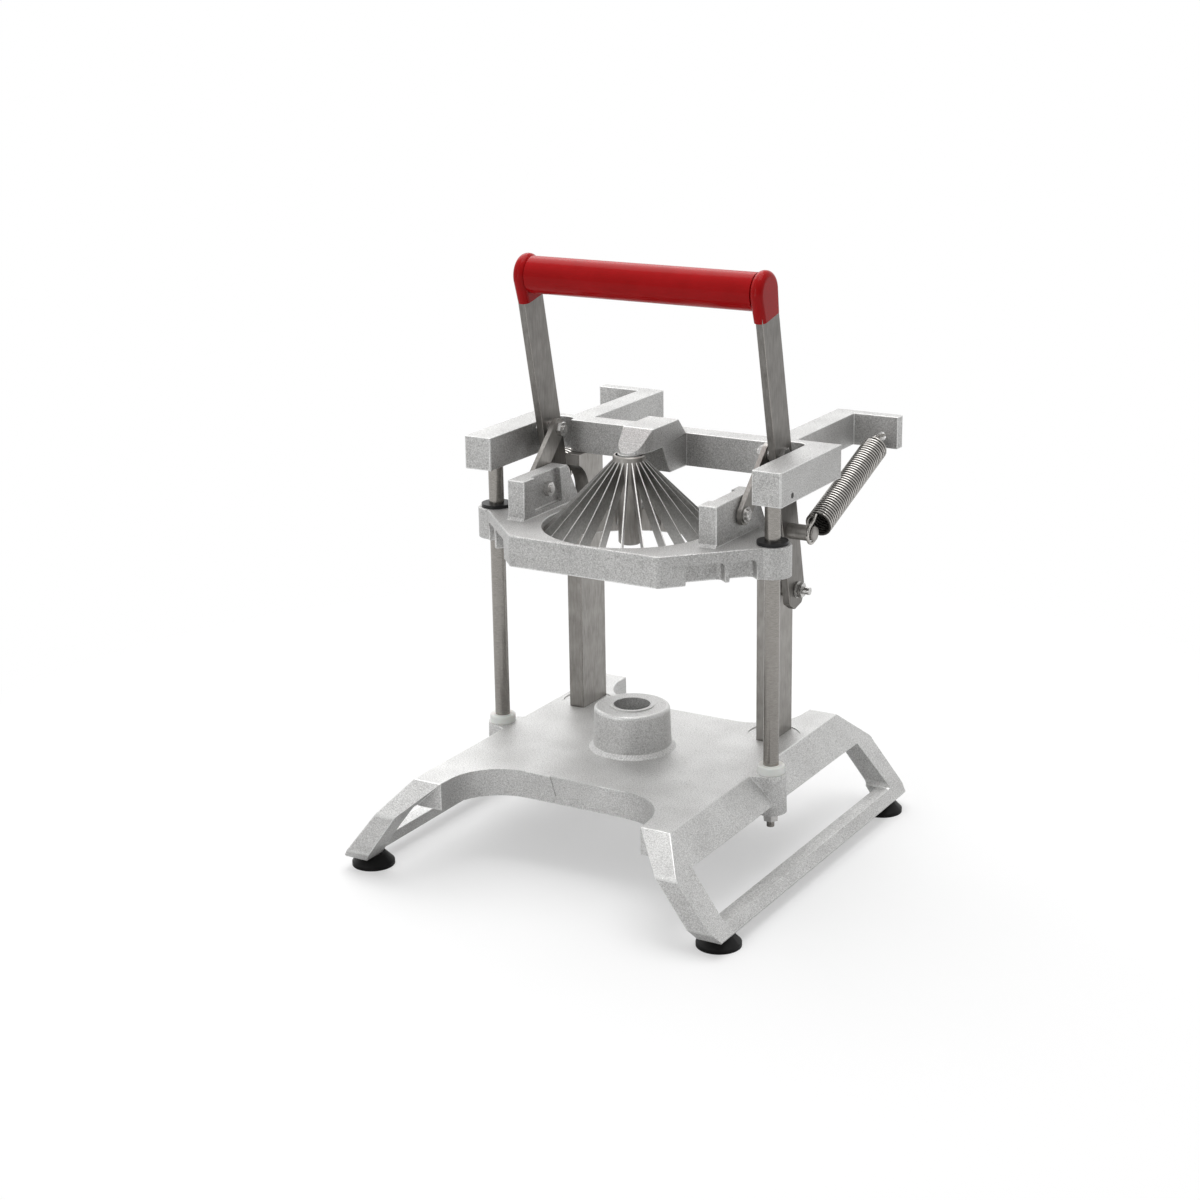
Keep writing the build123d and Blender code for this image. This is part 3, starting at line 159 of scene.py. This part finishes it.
class Finish:
    """One node-based material, built up by expressions."""

    def __init__(self, name):
        self.material = bpy.data.materials.new(name)
        self.material.use_nodes = True
        self.tree = self.material.node_tree
        self.tree.nodes.clear()
        self.place = self.node("ShaderNodeTexCoord", output="Object")

    def node(self, kind, settings=None, sockets=None, output=0):
        """Adds a node: settings first, then the values or wires of its sockets."""
        made = self.tree.nodes.new(kind)
        for key, value in (settings or {}).items():
            setattr(made, key, value)
        for key, value in (sockets or {}).items():
            if isinstance(value, Wire):
                self.tree.links.new(value.socket, made.inputs[key])
            else:
                made.inputs[key].default_value = value
        return Wire(self, made.outputs[output])

    def noise(self, per_metre, detail=2.0, stretch=None):
        """Smooth random pattern from 0 to 1, with so many features to a metre."""
        place = self.place
        if stretch:
            place = self.node("ShaderNodeVectorMath", {"operation": "MULTIPLY"},
                              {0: place, 1: stretch})
        sockets = {"Vector": place, "Scale": per_metre, "Detail": detail}
        return self.node("ShaderNodeTexNoise", {}, sockets)

    def steps(self, factor, low, high):
        """0 below one value and 1 above another, with a straight slope between."""
        sockets = {"Value": factor, "From Min": low, "From Max": high}
        return self.node("ShaderNodeMapRange", {}, sockets)

    def mix(self, factor, first, second):
        """Blend of two colours."""
        sockets = {"Factor": factor, MIX_FIRST: opaque(first), MIX_SECOND: opaque(second)}
        return self.node("ShaderNodeMix", {"data_type": "RGBA"}, sockets, output=MIX_RESULT)

    def bump(self, height, strength, depth_mm):
        """Normal of a surface whose relief is so many millimetres deep."""
        sockets = {"Height": height, "Strength": strength, "Distance": depth_mm * MM}
        return self.node("ShaderNodeBump", {}, sockets)

    def end_in(self, shader):
        """Ends the material in a shader."""
        out = self.tree.nodes.new("ShaderNodeOutputMaterial")
        self.tree.links.new(shader.socket, out.inputs["Surface"])
        return self.material

    def surface(self, **sockets):
        """Ends the material in one Principled shader."""
        named = {key.replace("_", " "): value for key, value in sockets.items()}
        return self.end_in(self.node("ShaderNodeBsdfPrincipled", {}, named))


print("a finish blends, bumps and ends in one shader")

# %% [markdown]
# ## Cast aluminium
#
# Base, yoke and head are sand castings that were tumbled: pale grey, with a fine grain that
# sparkles. The grain could be modelled, but at a millimetre across it only shows as glitter, so
# noises drive colour, bump and roughness. A broad one gives the faint cloudiness of the skin, and
# two more pick out dark pits and bright specks. The base came out paler than the yoke and head.
# Edges take a paler and smoother finish still: partly rubbed wear, partly a painted highlight.

# %% Cast aluminium
PIT_GREY = (0.20, 0.195, 0.19)
SPECK_GREY = (0.92, 0.92, 0.91)


def cast_aluminium(name, dark, light, roughness, relief):
    """Tumbled casting. Relief, from 0 to 1, says how far pits and grain stand out."""
    metal = Finish(name)
    grain = metal.noise(1000, detail=3)
    fine = metal.noise(2400)
    clouds = metal.noise(26, detail=4)
    pits = metal.steps(metal.noise(520), 0.62, 0.70)
    specks = metal.steps(metal.noise(1500, detail=1), 0.66, 0.72)
    tone = metal.steps(grain * 0.75 + clouds * 0.25, 0.36, 0.64)
    base = metal.mix(tone, dark, light)
    base = metal.mix(pits * relief, base, PIT_GREY)
    base = metal.mix(specks * 0.6, base, SPECK_GREY)
    rough = roughness + fine * 0.24 - specks * 0.2
    height = grain * 0.7 + fine * 0.3 - pits * 0.5
    normal = metal.bump(height, strength=relief * 2, depth_mm=0.4)
    return metal.surface(Base_Color=base, Metallic=0.8, Roughness=rough, Normal=normal)


finishes = {
    "cast_aluminium": cast_aluminium(
        "cast_aluminium", (0.36, 0.355, 0.35), (0.66, 0.66, 0.65), roughness=0.4, relief=0.36),
    "cast_base": cast_aluminium(
        "cast_base", (0.46, 0.455, 0.45), (0.77, 0.77, 0.76), roughness=0.4, relief=0.28),
    # the paler, smoother edge finish: partly rubbed wear, partly a painted highlight on the rounds
    "cast_edge_wear_and_sheen": cast_aluminium(
        "cast_edge_wear_and_sheen", (0.56, 0.56, 0.55), (0.82, 0.82, 0.81), roughness=0.32, relief=0.1),
}
print("castings:", ", ".join(finishes))

# %% [markdown]
# ## Steel bar, ground rod, blades and springs
#
# The columns, arms and links are cut from flat bar: darker and warmer than the castings, with a
# mottled mill skin. The rods are ground round, so their marks run round them, and the blades are
# thin ground sheet. One function makes them all, because only the stretch of the grain and the
# share of the mottling differ. The outside of a spring's wire is bare steel, and its other faces
# take a dark finish: painted shade in the grooves between its turns. The set screws are black.

# %% Steels
ALONG_BAR = (1, 1, 0.15)
ROUND_ROD = (0.5, 0.5, 6)
EVEN = (1, 1, 1)


def steel(name, dark, light, roughness, grain_stretch, mottle):
    """Steel with stretched grain. Mottle is the share of blotches in its tone."""
    metal = Finish(name)
    lines = metal.noise(600, detail=3, stretch=grain_stretch)
    blotches = metal.noise(70, detail=4)
    speckle = metal.noise(1500)
    tone = metal.steps(lines * (1 - mottle) + blotches * mottle, 0.3, 0.7)
    base = metal.mix(tone, dark, light)
    rough = roughness + 0.12 * blotches
    normal = metal.bump(lines * 0.6 + speckle * 0.4, strength=0.3, depth_mm=0.08)
    return metal.surface(Base_Color=base, Metallic=0.95, Roughness=rough, Normal=normal)


steels = {
    "lever_bar": ((0.15, 0.142, 0.132), (0.27, 0.26, 0.246), 0.36, ALONG_BAR, 0.5),
    "stainless_bar": ((0.24, 0.228, 0.213), (0.42, 0.405, 0.385), 0.34, ALONG_BAR, 0.5),
    "ground_rod": ((0.23, 0.217, 0.20), (0.39, 0.373, 0.35), 0.16, ROUND_ROD, 0.15),
    "blade_steel": ((0.38, 0.375, 0.365), (0.58, 0.575, 0.56), 0.34, EVEN, 0.3),
    "spring_steel": ((0.44, 0.422, 0.40), (0.64, 0.62, 0.59), 0.2, EVEN, 0.5),
    # painted shade for the grooves between a spring's turns
    "spring_groove": ((0.07, 0.066, 0.06), (0.13, 0.124, 0.116), 0.4, EVEN, 0.5),
    "black_oxide": ((0.018, 0.018, 0.018), (0.04, 0.04, 0.04), 0.45, EVEN, 0.5),
    "zinc_fastener": ((0.44, 0.435, 0.425), (0.70, 0.69, 0.675), 0.18, EVEN, 0.4),
}
for name, look in steels.items():
    finishes[name] = steel(name, *look)
print("steels:", ", ".join(steels))

# %% [markdown]
# ## Vinyl, nylon, rubber
#
# The grip is dipped red vinyl, glossy with a slight waviness. The bumpers are turned nylon that
# lets a little light in, and the feet and bushings are black, one matt and one satin. A plain
# colour would look like a computer's plastic, so a broad noise shifts the tone a little and a
# fine one breaks up the gloss.

# %% Plastics
def plastic(name, dark, light, roughness, wave_mm, shine, inner_glow=0.0):
    """Moulded plastic. Waves are so many millimetres deep; shine is its mirror strength."""
    stuff = Finish(name)
    waves = stuff.noise(60)
    fine = stuff.noise(1400)
    base = stuff.mix(stuff.steps(waves, 0.3, 0.7), dark, light)
    normal = stuff.bump(waves * 0.8 + fine * 0.2, strength=0.4, depth_mm=wave_mm)
    return stuff.surface(Base_Color=base, Roughness=roughness + 0.08 * fine, Normal=normal,
                         Specular_IOR_Level=shine, Subsurface_Weight=inner_glow)


plastics = {
    "red_vinyl": ((0.36, 0.005, 0.006), (0.41, 0.006, 0.008), 0.12, 0.1, 0.1),
    "white_nylon": ((0.90, 0.88, 0.83), (0.96, 0.945, 0.905), 0.4, 0.05, 0.5, 0.1),
    "black_bushing": ((0.010, 0.010, 0.011), (0.022, 0.022, 0.023), 0.35, 0.05, 0.3),
    "black_rubber": ((0.004, 0.004, 0.004), (0.010, 0.010, 0.010), 0.4, 0.1, 0.2),
}
for name, look in plastics.items():
    finishes[name] = plastic(name, *look)
print("plastics:", ", ".join(plastics))

# %% [markdown]
# ## A finish for every node
#
# The record of the model names a material for each node, and the finishes above carry the same
# names, so one loop dresses the whole press. Only the two small set screws differ from the other
# fasteners: they are blackened, and show as dark dots in the sides of the yoke.

# %% Finishes on the nodes
node_slots = {part["node"]: part["material_slot"] for part in frame["record"]["subparts"]}
for name, node in nodes.items():
    node.data.materials.clear()
    node.data.materials.append(finishes[node_slots[name]])
nodes["yoke_set_screws"].data.materials[0] = finishes["black_oxide"]
print(len(finishes), "finishes on", len(nodes), "nodes")

# %% [markdown]
# ## New pieces
#
# A piece made here has a slot that names its material, rides on the body that carries it, and
# stands for the CAD nodes that it replaces, which then disappear. One helper does all of that.
# A piece can have two finishes, and the material index of each face says which one it shows.

# %% Adding a piece
def add_piece(name, mesh, looks, body, stands_for):
    """Puts a mesh into the scene as a piece on a body, in place of some CAD nodes."""
    mesh.name = name
    for look in looks:
        mesh.materials.append(finishes[look])
    piece = bpy.data.objects.new(name, mesh)
    bpy.context.scene.collection.objects.link(piece)
    if body:
        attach(piece, body)
    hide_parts(*stands_for)
    return piece


# %% [markdown]
# ## Light on soft edges
#
# A casting has no sharp edge: sand, shot and the tumbler round them all. Once its edges are
# rounded, plain smooth shading would let each round bleed across the flat beside it, as if the
# flat were a pillow. So the normals are worked out here: a wide face keeps its own up to its
# border, and a narrow one borrows that of the wide face it meets. Flats stay flat, rounds stay
# round.

# %% Shading normals
WIDE = 3.6 * MM
SHARP = math.radians(32)   # a turn that a round never makes from one strip to the next
GENTLE = math.radians(14)  # a turn between the facets of one large curve


def face_width(face):
    """Mean width of a face: that of a long strip, and half the side of a square."""
    return 2 * face.calc_area() / face.calc_perimeter()


def corner_normals(work):
    """One normal for every corner of every face, in the order of the mesh."""
    wide = {face: face_width(face) > WIDE for face in work.faces}
    normals = []
    for face in work.faces:
        reach = GENTLE if wide[face] else SHARP
        for vertex in face.verts:
            near = [other for other in vertex.link_faces
                    if face.normal.angle(other.normal, 0) < reach]
            flats = [other for other in near if wide[other]]
            total = Vector()
            for other in flats or near:
                total += other.normal * other.calc_area()
            normals.append(total.normalized() if total.length else face.normal)
    return normals


print("faces wider than", round(WIDE / MM, 1), "mm stay flat")

# %% [markdown]
# ## Rounding a node
#
# The flat faces of the CAD mesh are merged into single faces, and a bevel rounds the sharp edges
# between wide faces. It is cut in the mesh itself, not by a modifier, because the normals above
# need its strips. Its clamp stays off: one small fillet of the casting would shrink every round.
# The rounds, and narrow strips that the CAD model already has, take a second, paler finish:
# partly the wear of hands and cloths, partly a painted highlight along the edges.

# %% Rounding the edges of a node
MERGE_REACH = 0.01 * MM
FLAT_ENOUGH = math.radians(0.6)
BODY_LOOK, EDGE_LOOK = 0, 1  # material indices


def soften(node, radius_mm, bright_strip_mm, body_look, edge_look):
    """A copy of a CAD node with rounded edges, which stands for it."""
    work = bmesh.new()
    work.from_mesh(nodes[node].data)
    bmesh.ops.remove_doubles(work, verts=work.verts, dist=MERGE_REACH)
    bmesh.ops.dissolve_limit(work, angle_limit=FLAT_ENOUGH, verts=work.verts, edges=work.edges)
    for face in work.faces:
        # narrow strips take the paler edge finish, partly wear and partly painted highlight
        face.material_index = EDGE_LOOK if face_width(face) < bright_strip_mm * MM else BODY_LOOK
    corners = [edge for edge in work.edges
               if edge.is_manifold and edge.calc_face_angle() > SHARP
               and min(face_width(face) for face in edge.link_faces) > WIDE]
    # the new rounds take the edge finish too: partly wear, partly painted highlight
    bmesh.ops.bevel(work, geom=corners, offset=radius_mm * MM, offset_type="OFFSET", segments=3,
                    profile=0.5, affect="EDGES", clamp_overlap=False, material=EDGE_LOOK,
                    miter_outer="ARC")
    for face in work.faces:
        face.smooth = True
    normals = corner_normals(work)
    mesh = bpy.data.meshes.new(node)
    work.to_mesh(mesh)
    work.free()
    mesh.normals_split_custom_set(normals)
    looks = (body_look, edge_look)
    body = nodes[node]["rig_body"]
    return add_piece(f"{node}_soft", mesh, looks, body, [node])


print("edges that turn more than", round(math.degrees(SHARP)), "degrees can be rounded")

# %% [markdown]
# ## Which nodes are softened
#
# The castings get the largest rounds, and flat bar has only its sharpness broken. Each row gives
# the radius of a round and the width below which a strip takes the paler edge finish, both in
# millimetres, then the finish of the body and of its edges. The edge finish is partly wear and
# partly a painted highlight. The head keeps one finish on its own fillets.

# %% Softened nodes
rounds = {
    "base_casting": (0.8, 0.8, "cast_base", "cast_edge_wear_and_sheen"),
    "yoke_casting": (0.8, 0.8, "cast_aluminium", "cast_edge_wear_and_sheen"),
    "head_casting": (0.9, 0.0, "cast_aluminium", "cast_edge_wear_and_sheen"),
    "rear_column_left": (0.5, 0.8, "stainless_bar", "ground_rod"),
    "rear_column_right": (0.5, 0.8, "stainless_bar", "ground_rod"),
    "lever_arm_left": (0.5, 0.8, "lever_bar", "ground_rod"),
    "lever_arm_right": (0.5, 0.8, "lever_bar", "ground_rod"),
}
for node, settings in rounds.items():
    piece = soften(node, *settings)
    print(node, "softened,", len(piece.data.polygons), "faces")

# %% [markdown]
# ## A wire as a mesh
#
# Each return spring is one wire. A curve with a round bevel would do for a still picture, but a
# swept mesh keeps every turn even and has a face for each side of the wire. The ring of vertices
# is carried along the path with as little turning as possible, so that the wire never twists.

# %% Sweeping a wire
WIRE_SIDES = 14


def sweep_wire(points, radius):
    """Mesh tube round a list of points."""
    tangents = []
    for index in range(len(points)):
        before = points[max(index - 1, 0)]
        after = points[min(index + 1, len(points) - 1)]
        tangents.append((after - before).normalized())
    normal = tangents[0].orthogonal().normalized()
    vertices = []
    faces = []
    for index, (point, tangent) in enumerate(zip(points, tangents)):
        normal = (normal - tangent * normal.dot(tangent)).normalized()
        side = tangent.cross(normal)
        for step in range(WIRE_SIDES):
            angle = 2 * math.pi * step / WIRE_SIDES
            vertices.append(point + (normal * math.cos(angle) + side * math.sin(angle)) * radius)
        if index:
            start = (index - 1) * WIRE_SIDES
            end = index * WIRE_SIDES
            for step in range(WIRE_SIDES):
                turn = (step + 1) % WIRE_SIDES
                faces.append((start + step, start + turn, end + turn, end + step))
    faces.append(tuple(reversed(range(WIRE_SIDES))))
    faces.append(tuple(range(len(vertices) - WIRE_SIDES, len(vertices))))
    mesh = bpy.data.meshes.new("wire")
    mesh.from_pydata(vertices, [], faces)
    for face in mesh.polygons:
        face.use_smooth = True
    return mesh


def round_corner(before, corner, after, radius, count=6):
    """Points of a curve that rounds one corner of a path."""
    incoming = (before - corner).normalized()
    outgoing = (after - corner).normalized()
    reach = radius / math.tan(incoming.angle(outgoing) / 2)
    start = corner + incoming * reach
    end = corner + outgoing * reach
    points = []
    for step in range(count + 1):
        t = step / count
        points.append(start * (1 - t) ** 2 + corner * 2 * t * (1 - t) + end * t ** 2)
    return points


print("a wire has", WIRE_SIDES, "sides")

# %% [markdown]
# ## The path of a spring
#
# From its upper end the wire turns up behind the yoke's hook, passes through its hole, winds
# thirty-eight close turns and ends in a loop round the lever's pin. Three short functions give
# the points of hook, coil and loop, each from the spring's own directions: along it, across it
# and up from it.

# %% Hook, coil and loop
WIRE_RADIUS = 1.42 * MM
WIRE_BEND = 2.6 * MM
LINE_OFFSET = 7.9 * MM     # from the spring's axis to the wire's middle in hook and loop
HOOK_TILT = math.radians(7.5)
HOOK_REACH = 15 * MM
HOOK_CLEARANCE = 3.4 * MM  # from the yoke's back to the wire's middle
TAIL_HEIGHT = 6.5 * MM
COIL_TURNS = 38
COIL_MID_RADIUS = 9.8 * MM
COIL_START = 21 * MM       # from the hook's hole, along the spring
COIL_LENGTH = 118 * MM
STEPS_PER_TURN = 24
LOOP_LEAD = 6 * MM
LOOP_TURN = math.radians(270)
LOOP_STEPS = 21
ACROSS = Vector((1, 0, 0))


def hook_points(hook, along, up):
    """Tail behind the yoke, the way through its hole, and the bend down to the coil."""
    yoke_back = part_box("yoke_casting")[1].y
    through = Vector((0, math.cos(HOOK_TILT), -math.sin(HOOK_TILT)))
    lead = hook - through * HOOK_REACH
    leave = hook + through * (yoke_back - hook.y + HOOK_CLEARANCE) / math.cos(HOOK_TILT)
    tail = leave + Vector((0, WIRE_RADIUS, TAIL_HEIGHT))
    start = hook + along * COIL_START + up * LINE_OFFSET
    return [tail, *round_corner(tail, leave, hook, WIRE_BEND),
            *round_corner(hook, lead, start, WIRE_BEND)]


def coil_points(hook, along, up):
    """The close turns."""
    points = []
    total = COIL_TURNS * STEPS_PER_TURN
    for step in range(total + 1):
        angle = 2 * math.pi * step / STEPS_PER_TURN
        radial = up * math.cos(angle) + ACROSS * math.sin(angle)
        distance = COIL_START + COIL_LENGTH * step / total
        points.append(hook + along * distance + radial * COIL_MID_RADIUS)
    return points


def loop_points(pin, along, up):
    """The loop round the lever's pin."""
    points = [pin - along * LOOP_LEAD + up * LINE_OFFSET]
    for step in range(LOOP_STEPS + 1):
        angle = LOOP_TURN * step / LOOP_STEPS
        points.append(pin + (up * math.cos(angle) + along * math.sin(angle)) * LINE_OFFSET)
    return points


print("coil of", COIL_TURNS, "turns,", round(COIL_LENGTH / COIL_TURNS / MM, 2), "mm apart")

# %% [markdown]
# ## Return springs
#
# A spring is one mesh, baked in place and attached to no body. The faces that look outwards
# show the bare steel of the wire, and the others take a dark finish: painted shade in the
# grooves between the turns, which draws each turn as a fine bright ring.

# %% Springs
CREST = 0.8  # outward enough to show bare steel; faces below take painted groove shade


def spring(side):
    """One return spring of wound wire, which stands for its two CAD nodes."""
    hook = Vector(joints[f"spring_{side}_swing"]["pos_m"])
    along = Vector(joints[f"spring_{side}_stretch"]["axis"]).normalized()
    up = ACROSS.cross(along)
    if up.z < 0:
        up = -up
    pin = middle(f"spring_pin_{side}")
    pin.x = hook.x
    points = hook_points(hook, along, up) + coil_points(hook, along, up)
    points += loop_points(pin, along, up)
    mesh = sweep_wire(points, WIRE_RADIUS)
    looks = ("spring_steel", "spring_groove")
    stands_for = (f"spring_hook_{side}", f"spring_coil_{side}")
    piece = add_piece(f"spring_{side}", mesh, looks, None, stands_for)
    for face in mesh.polygons:
        distance = (face.center - hook).dot(along)
        outward = (face.center - hook - along * distance).normalized()
        in_coil = COIL_START < distance < COIL_START + COIL_LENGTH
        # faces that turn from the outside of the coil take the painted groove shade
        face.material_index = int(in_coil and face.normal.dot(outward) < CREST)
    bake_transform(piece)
    print(f"spring_{side}:", len(points), "points,", len(mesh.polygons), "faces")


for side in ("left", "right"):
    spring(side)

# %% [markdown]
# ## A white table
#
# The press stands on white paper that runs out of the picture. Near the press it is partly a plain
# matt surface, so that it takes the soft shadow. Further out it fades to pure white for the camera
# and for reflections only, so the picture has no horizon. As light on the press the paper counts
# as grey, because a studio table is small and the floor round it is dark.

# %% Floor
PAPER_SEEN = (0.94, 0.94, 0.94)
PAPER_AS_LIGHT = (0.7, 0.7, 0.7)
GLOW_SHARE = 0.4           # share of plain white near the press
FADE_START, FADE_END = 0.42, 0.75
FLOOR_SIZE = 12


def floor_finish():
    """White paper that fades to the plain white of the background."""
    paper = Finish("white_sweep")
    seen = paper.node("ShaderNodeLightPath", output="Is Camera Ray")
    mirrored = paper.node("ShaderNodeLightPath", output="Is Glossy Ray")
    tint = paper.mix(seen, PAPER_AS_LIGHT, PAPER_SEEN)
    shade = paper.node("ShaderNodeBsdfDiffuse", {}, {"Color": tint})
    glow = paper.node("ShaderNodeEmission", {}, {"Color": (1, 1, 1, 1), "Strength": 1.0})
    distance = paper.node("ShaderNodeVectorMath", {"operation": "LENGTH"}, {0: paper.place},
                          output="Value")
    far = paper.steps(distance, FADE_START, FADE_END)
    share = seen * (GLOW_SHARE + (1 - GLOW_SHARE) * far) + mirrored * far
    return paper.end_in(paper.node("ShaderNodeMixShader", {}, {0: share, 1: shade, 2: glow}))


bpy.ops.mesh.primitive_plane_add(size=FLOOR_SIZE, location=(0, 0, 0))
floor = bpy.context.object
floor.name = "floor"
floor.data.materials.append(floor_finish())
print("floor of", FLOOR_SIZE, "m, pure white beyond", FADE_END, "m")

# %% [markdown]
# ## The room round the press
#
# The world is white to the camera. As light and in reflections it is brighter behind and above the
# press than on the operator's side, as a studio is: that gives metal faces their different greys.
# One fixed white would make every side of a bar the same.

# %% World
BRIGHT_SIDE = (-0.62, 0.58, 0.53)
ROOM_DARK, ROOM_BRIGHT = 0.36, 1.1
LIGHT_SHARE = 0.7          # what counts as light on matt surfaces


class Sky(Finish):
    """A world, built with the same small language."""

    def __init__(self, name):
        self.world = bpy.data.worlds.new(name)
        self.world.use_nodes = True
        self.tree = self.world.node_tree
        self.tree.nodes.clear()
        self.place = self.node("ShaderNodeTexCoord", output="Generated")


sky = Sky("studio")
seen = sky.node("ShaderNodeLightPath", output="Is Camera Ray")
mirrored = sky.node("ShaderNodeLightPath", output="Is Glossy Ray")
lift = sky.node("ShaderNodeVectorMath", {"operation": "DOT_PRODUCT"},
                {0: sky.place, 1: BRIGHT_SIDE}, output="Value")
room = ROOM_DARK + (ROOM_BRIGHT - ROOM_DARK) * sky.steps(lift, -0.7, 0.8)
strength = seen + (1 - seen) * room * (LIGHT_SHARE + (1 - LIGHT_SHARE) * mirrored)
background = sky.node("ShaderNodeBackground", {}, {"Color": (1, 1, 1, 1), "Strength": strength})
world_out = sky.tree.nodes.new("ShaderNodeOutputWorld")
sky.tree.links.new(background.socket, world_out.inputs["Surface"])
bpy.context.scene.world = sky.world
print("room from", ROOM_DARK, "in front to", ROOM_BRIGHT, "behind")

# %% [markdown]
# ## Lamps
#
# Two broad soft boxes overhead, one of them behind on the left, make the tops the palest faces
# and lay the shadow to the front and right. A tall narrow one in front draws an upright streak on
# rods, cup and grip. Sun or point lamps would be simpler, but they leave hard shadows and pin
# pricks of light on metal.

# %% Soft boxes
def soft_box(name, place, target, width, depth, power):
    """A rectangular lamp that points at a target, with sides in metres and power in watts."""
    lamp = bpy.data.lights.new(name, "AREA")
    lamp.shape = "RECTANGLE"
    lamp.size = width
    lamp.size_y = depth
    lamp.energy = power
    holder = bpy.data.objects.new(name, lamp)
    holder.location = place
    direction = Vector(target) - Vector(place)
    holder.rotation_euler = direction.to_track_quat("-Z", "Y").to_euler()
    bpy.context.scene.collection.objects.link(holder)
    print(name, "at", round(direction.length, 2), "m")


soft_box("key", (-1.05, 0.85, 1.9), (0, 0, 0.25), 1.6, 1.6, 15)
soft_box("overhead", (0.2, 0.1, 2.4), (0, 0, 0.2), 1.6, 1.6, 22)
soft_box("front_strip", (-0.5, -2.0, 0.8), (0, 0, 0.25), 0.3, 1.4, 5)

# %% [markdown]
# ## Camera
#
# The camera stands where the photograph was taken from: to the operator's right and a little
# above. Its place and axes were fitted to the edges of the press in the photograph, with the
# guide rods as the scale. A matrix takes those axes as they are, where angles would be rounded.

# %% Camera
LENS = 68.31
SENSOR_WIDTH = 36
CAMERA_PLACE = Vector((0.89263, ROD_Y - 1.54976, 0.75786))
CAMERA_RIGHT = Vector((0.86166, 0.50726, -0.01522))
CAMERA_UP = Vector((-0.13616, 0.25996, 0.95597))

camera_data = bpy.data.cameras.new("camera")
camera_data.sensor_width = SENSOR_WIDTH
camera_data.lens = LENS
camera = bpy.data.objects.new("camera", camera_data)
bpy.context.scene.collection.objects.link(camera)
bpy.context.scene.camera = camera
camera_back = CAMERA_RIGHT.cross(CAMERA_UP).normalized()
turn = Matrix((CAMERA_RIGHT, CAMERA_UP, camera_back)).transposed()
camera.matrix_world = Matrix.Translation(CAMERA_PLACE) @ turn.to_4x4()
bpy.context.scene.view_settings.view_transform = "Standard"
print("camera", round(CAMERA_PLACE.length, 2), "m from the middle of the press")
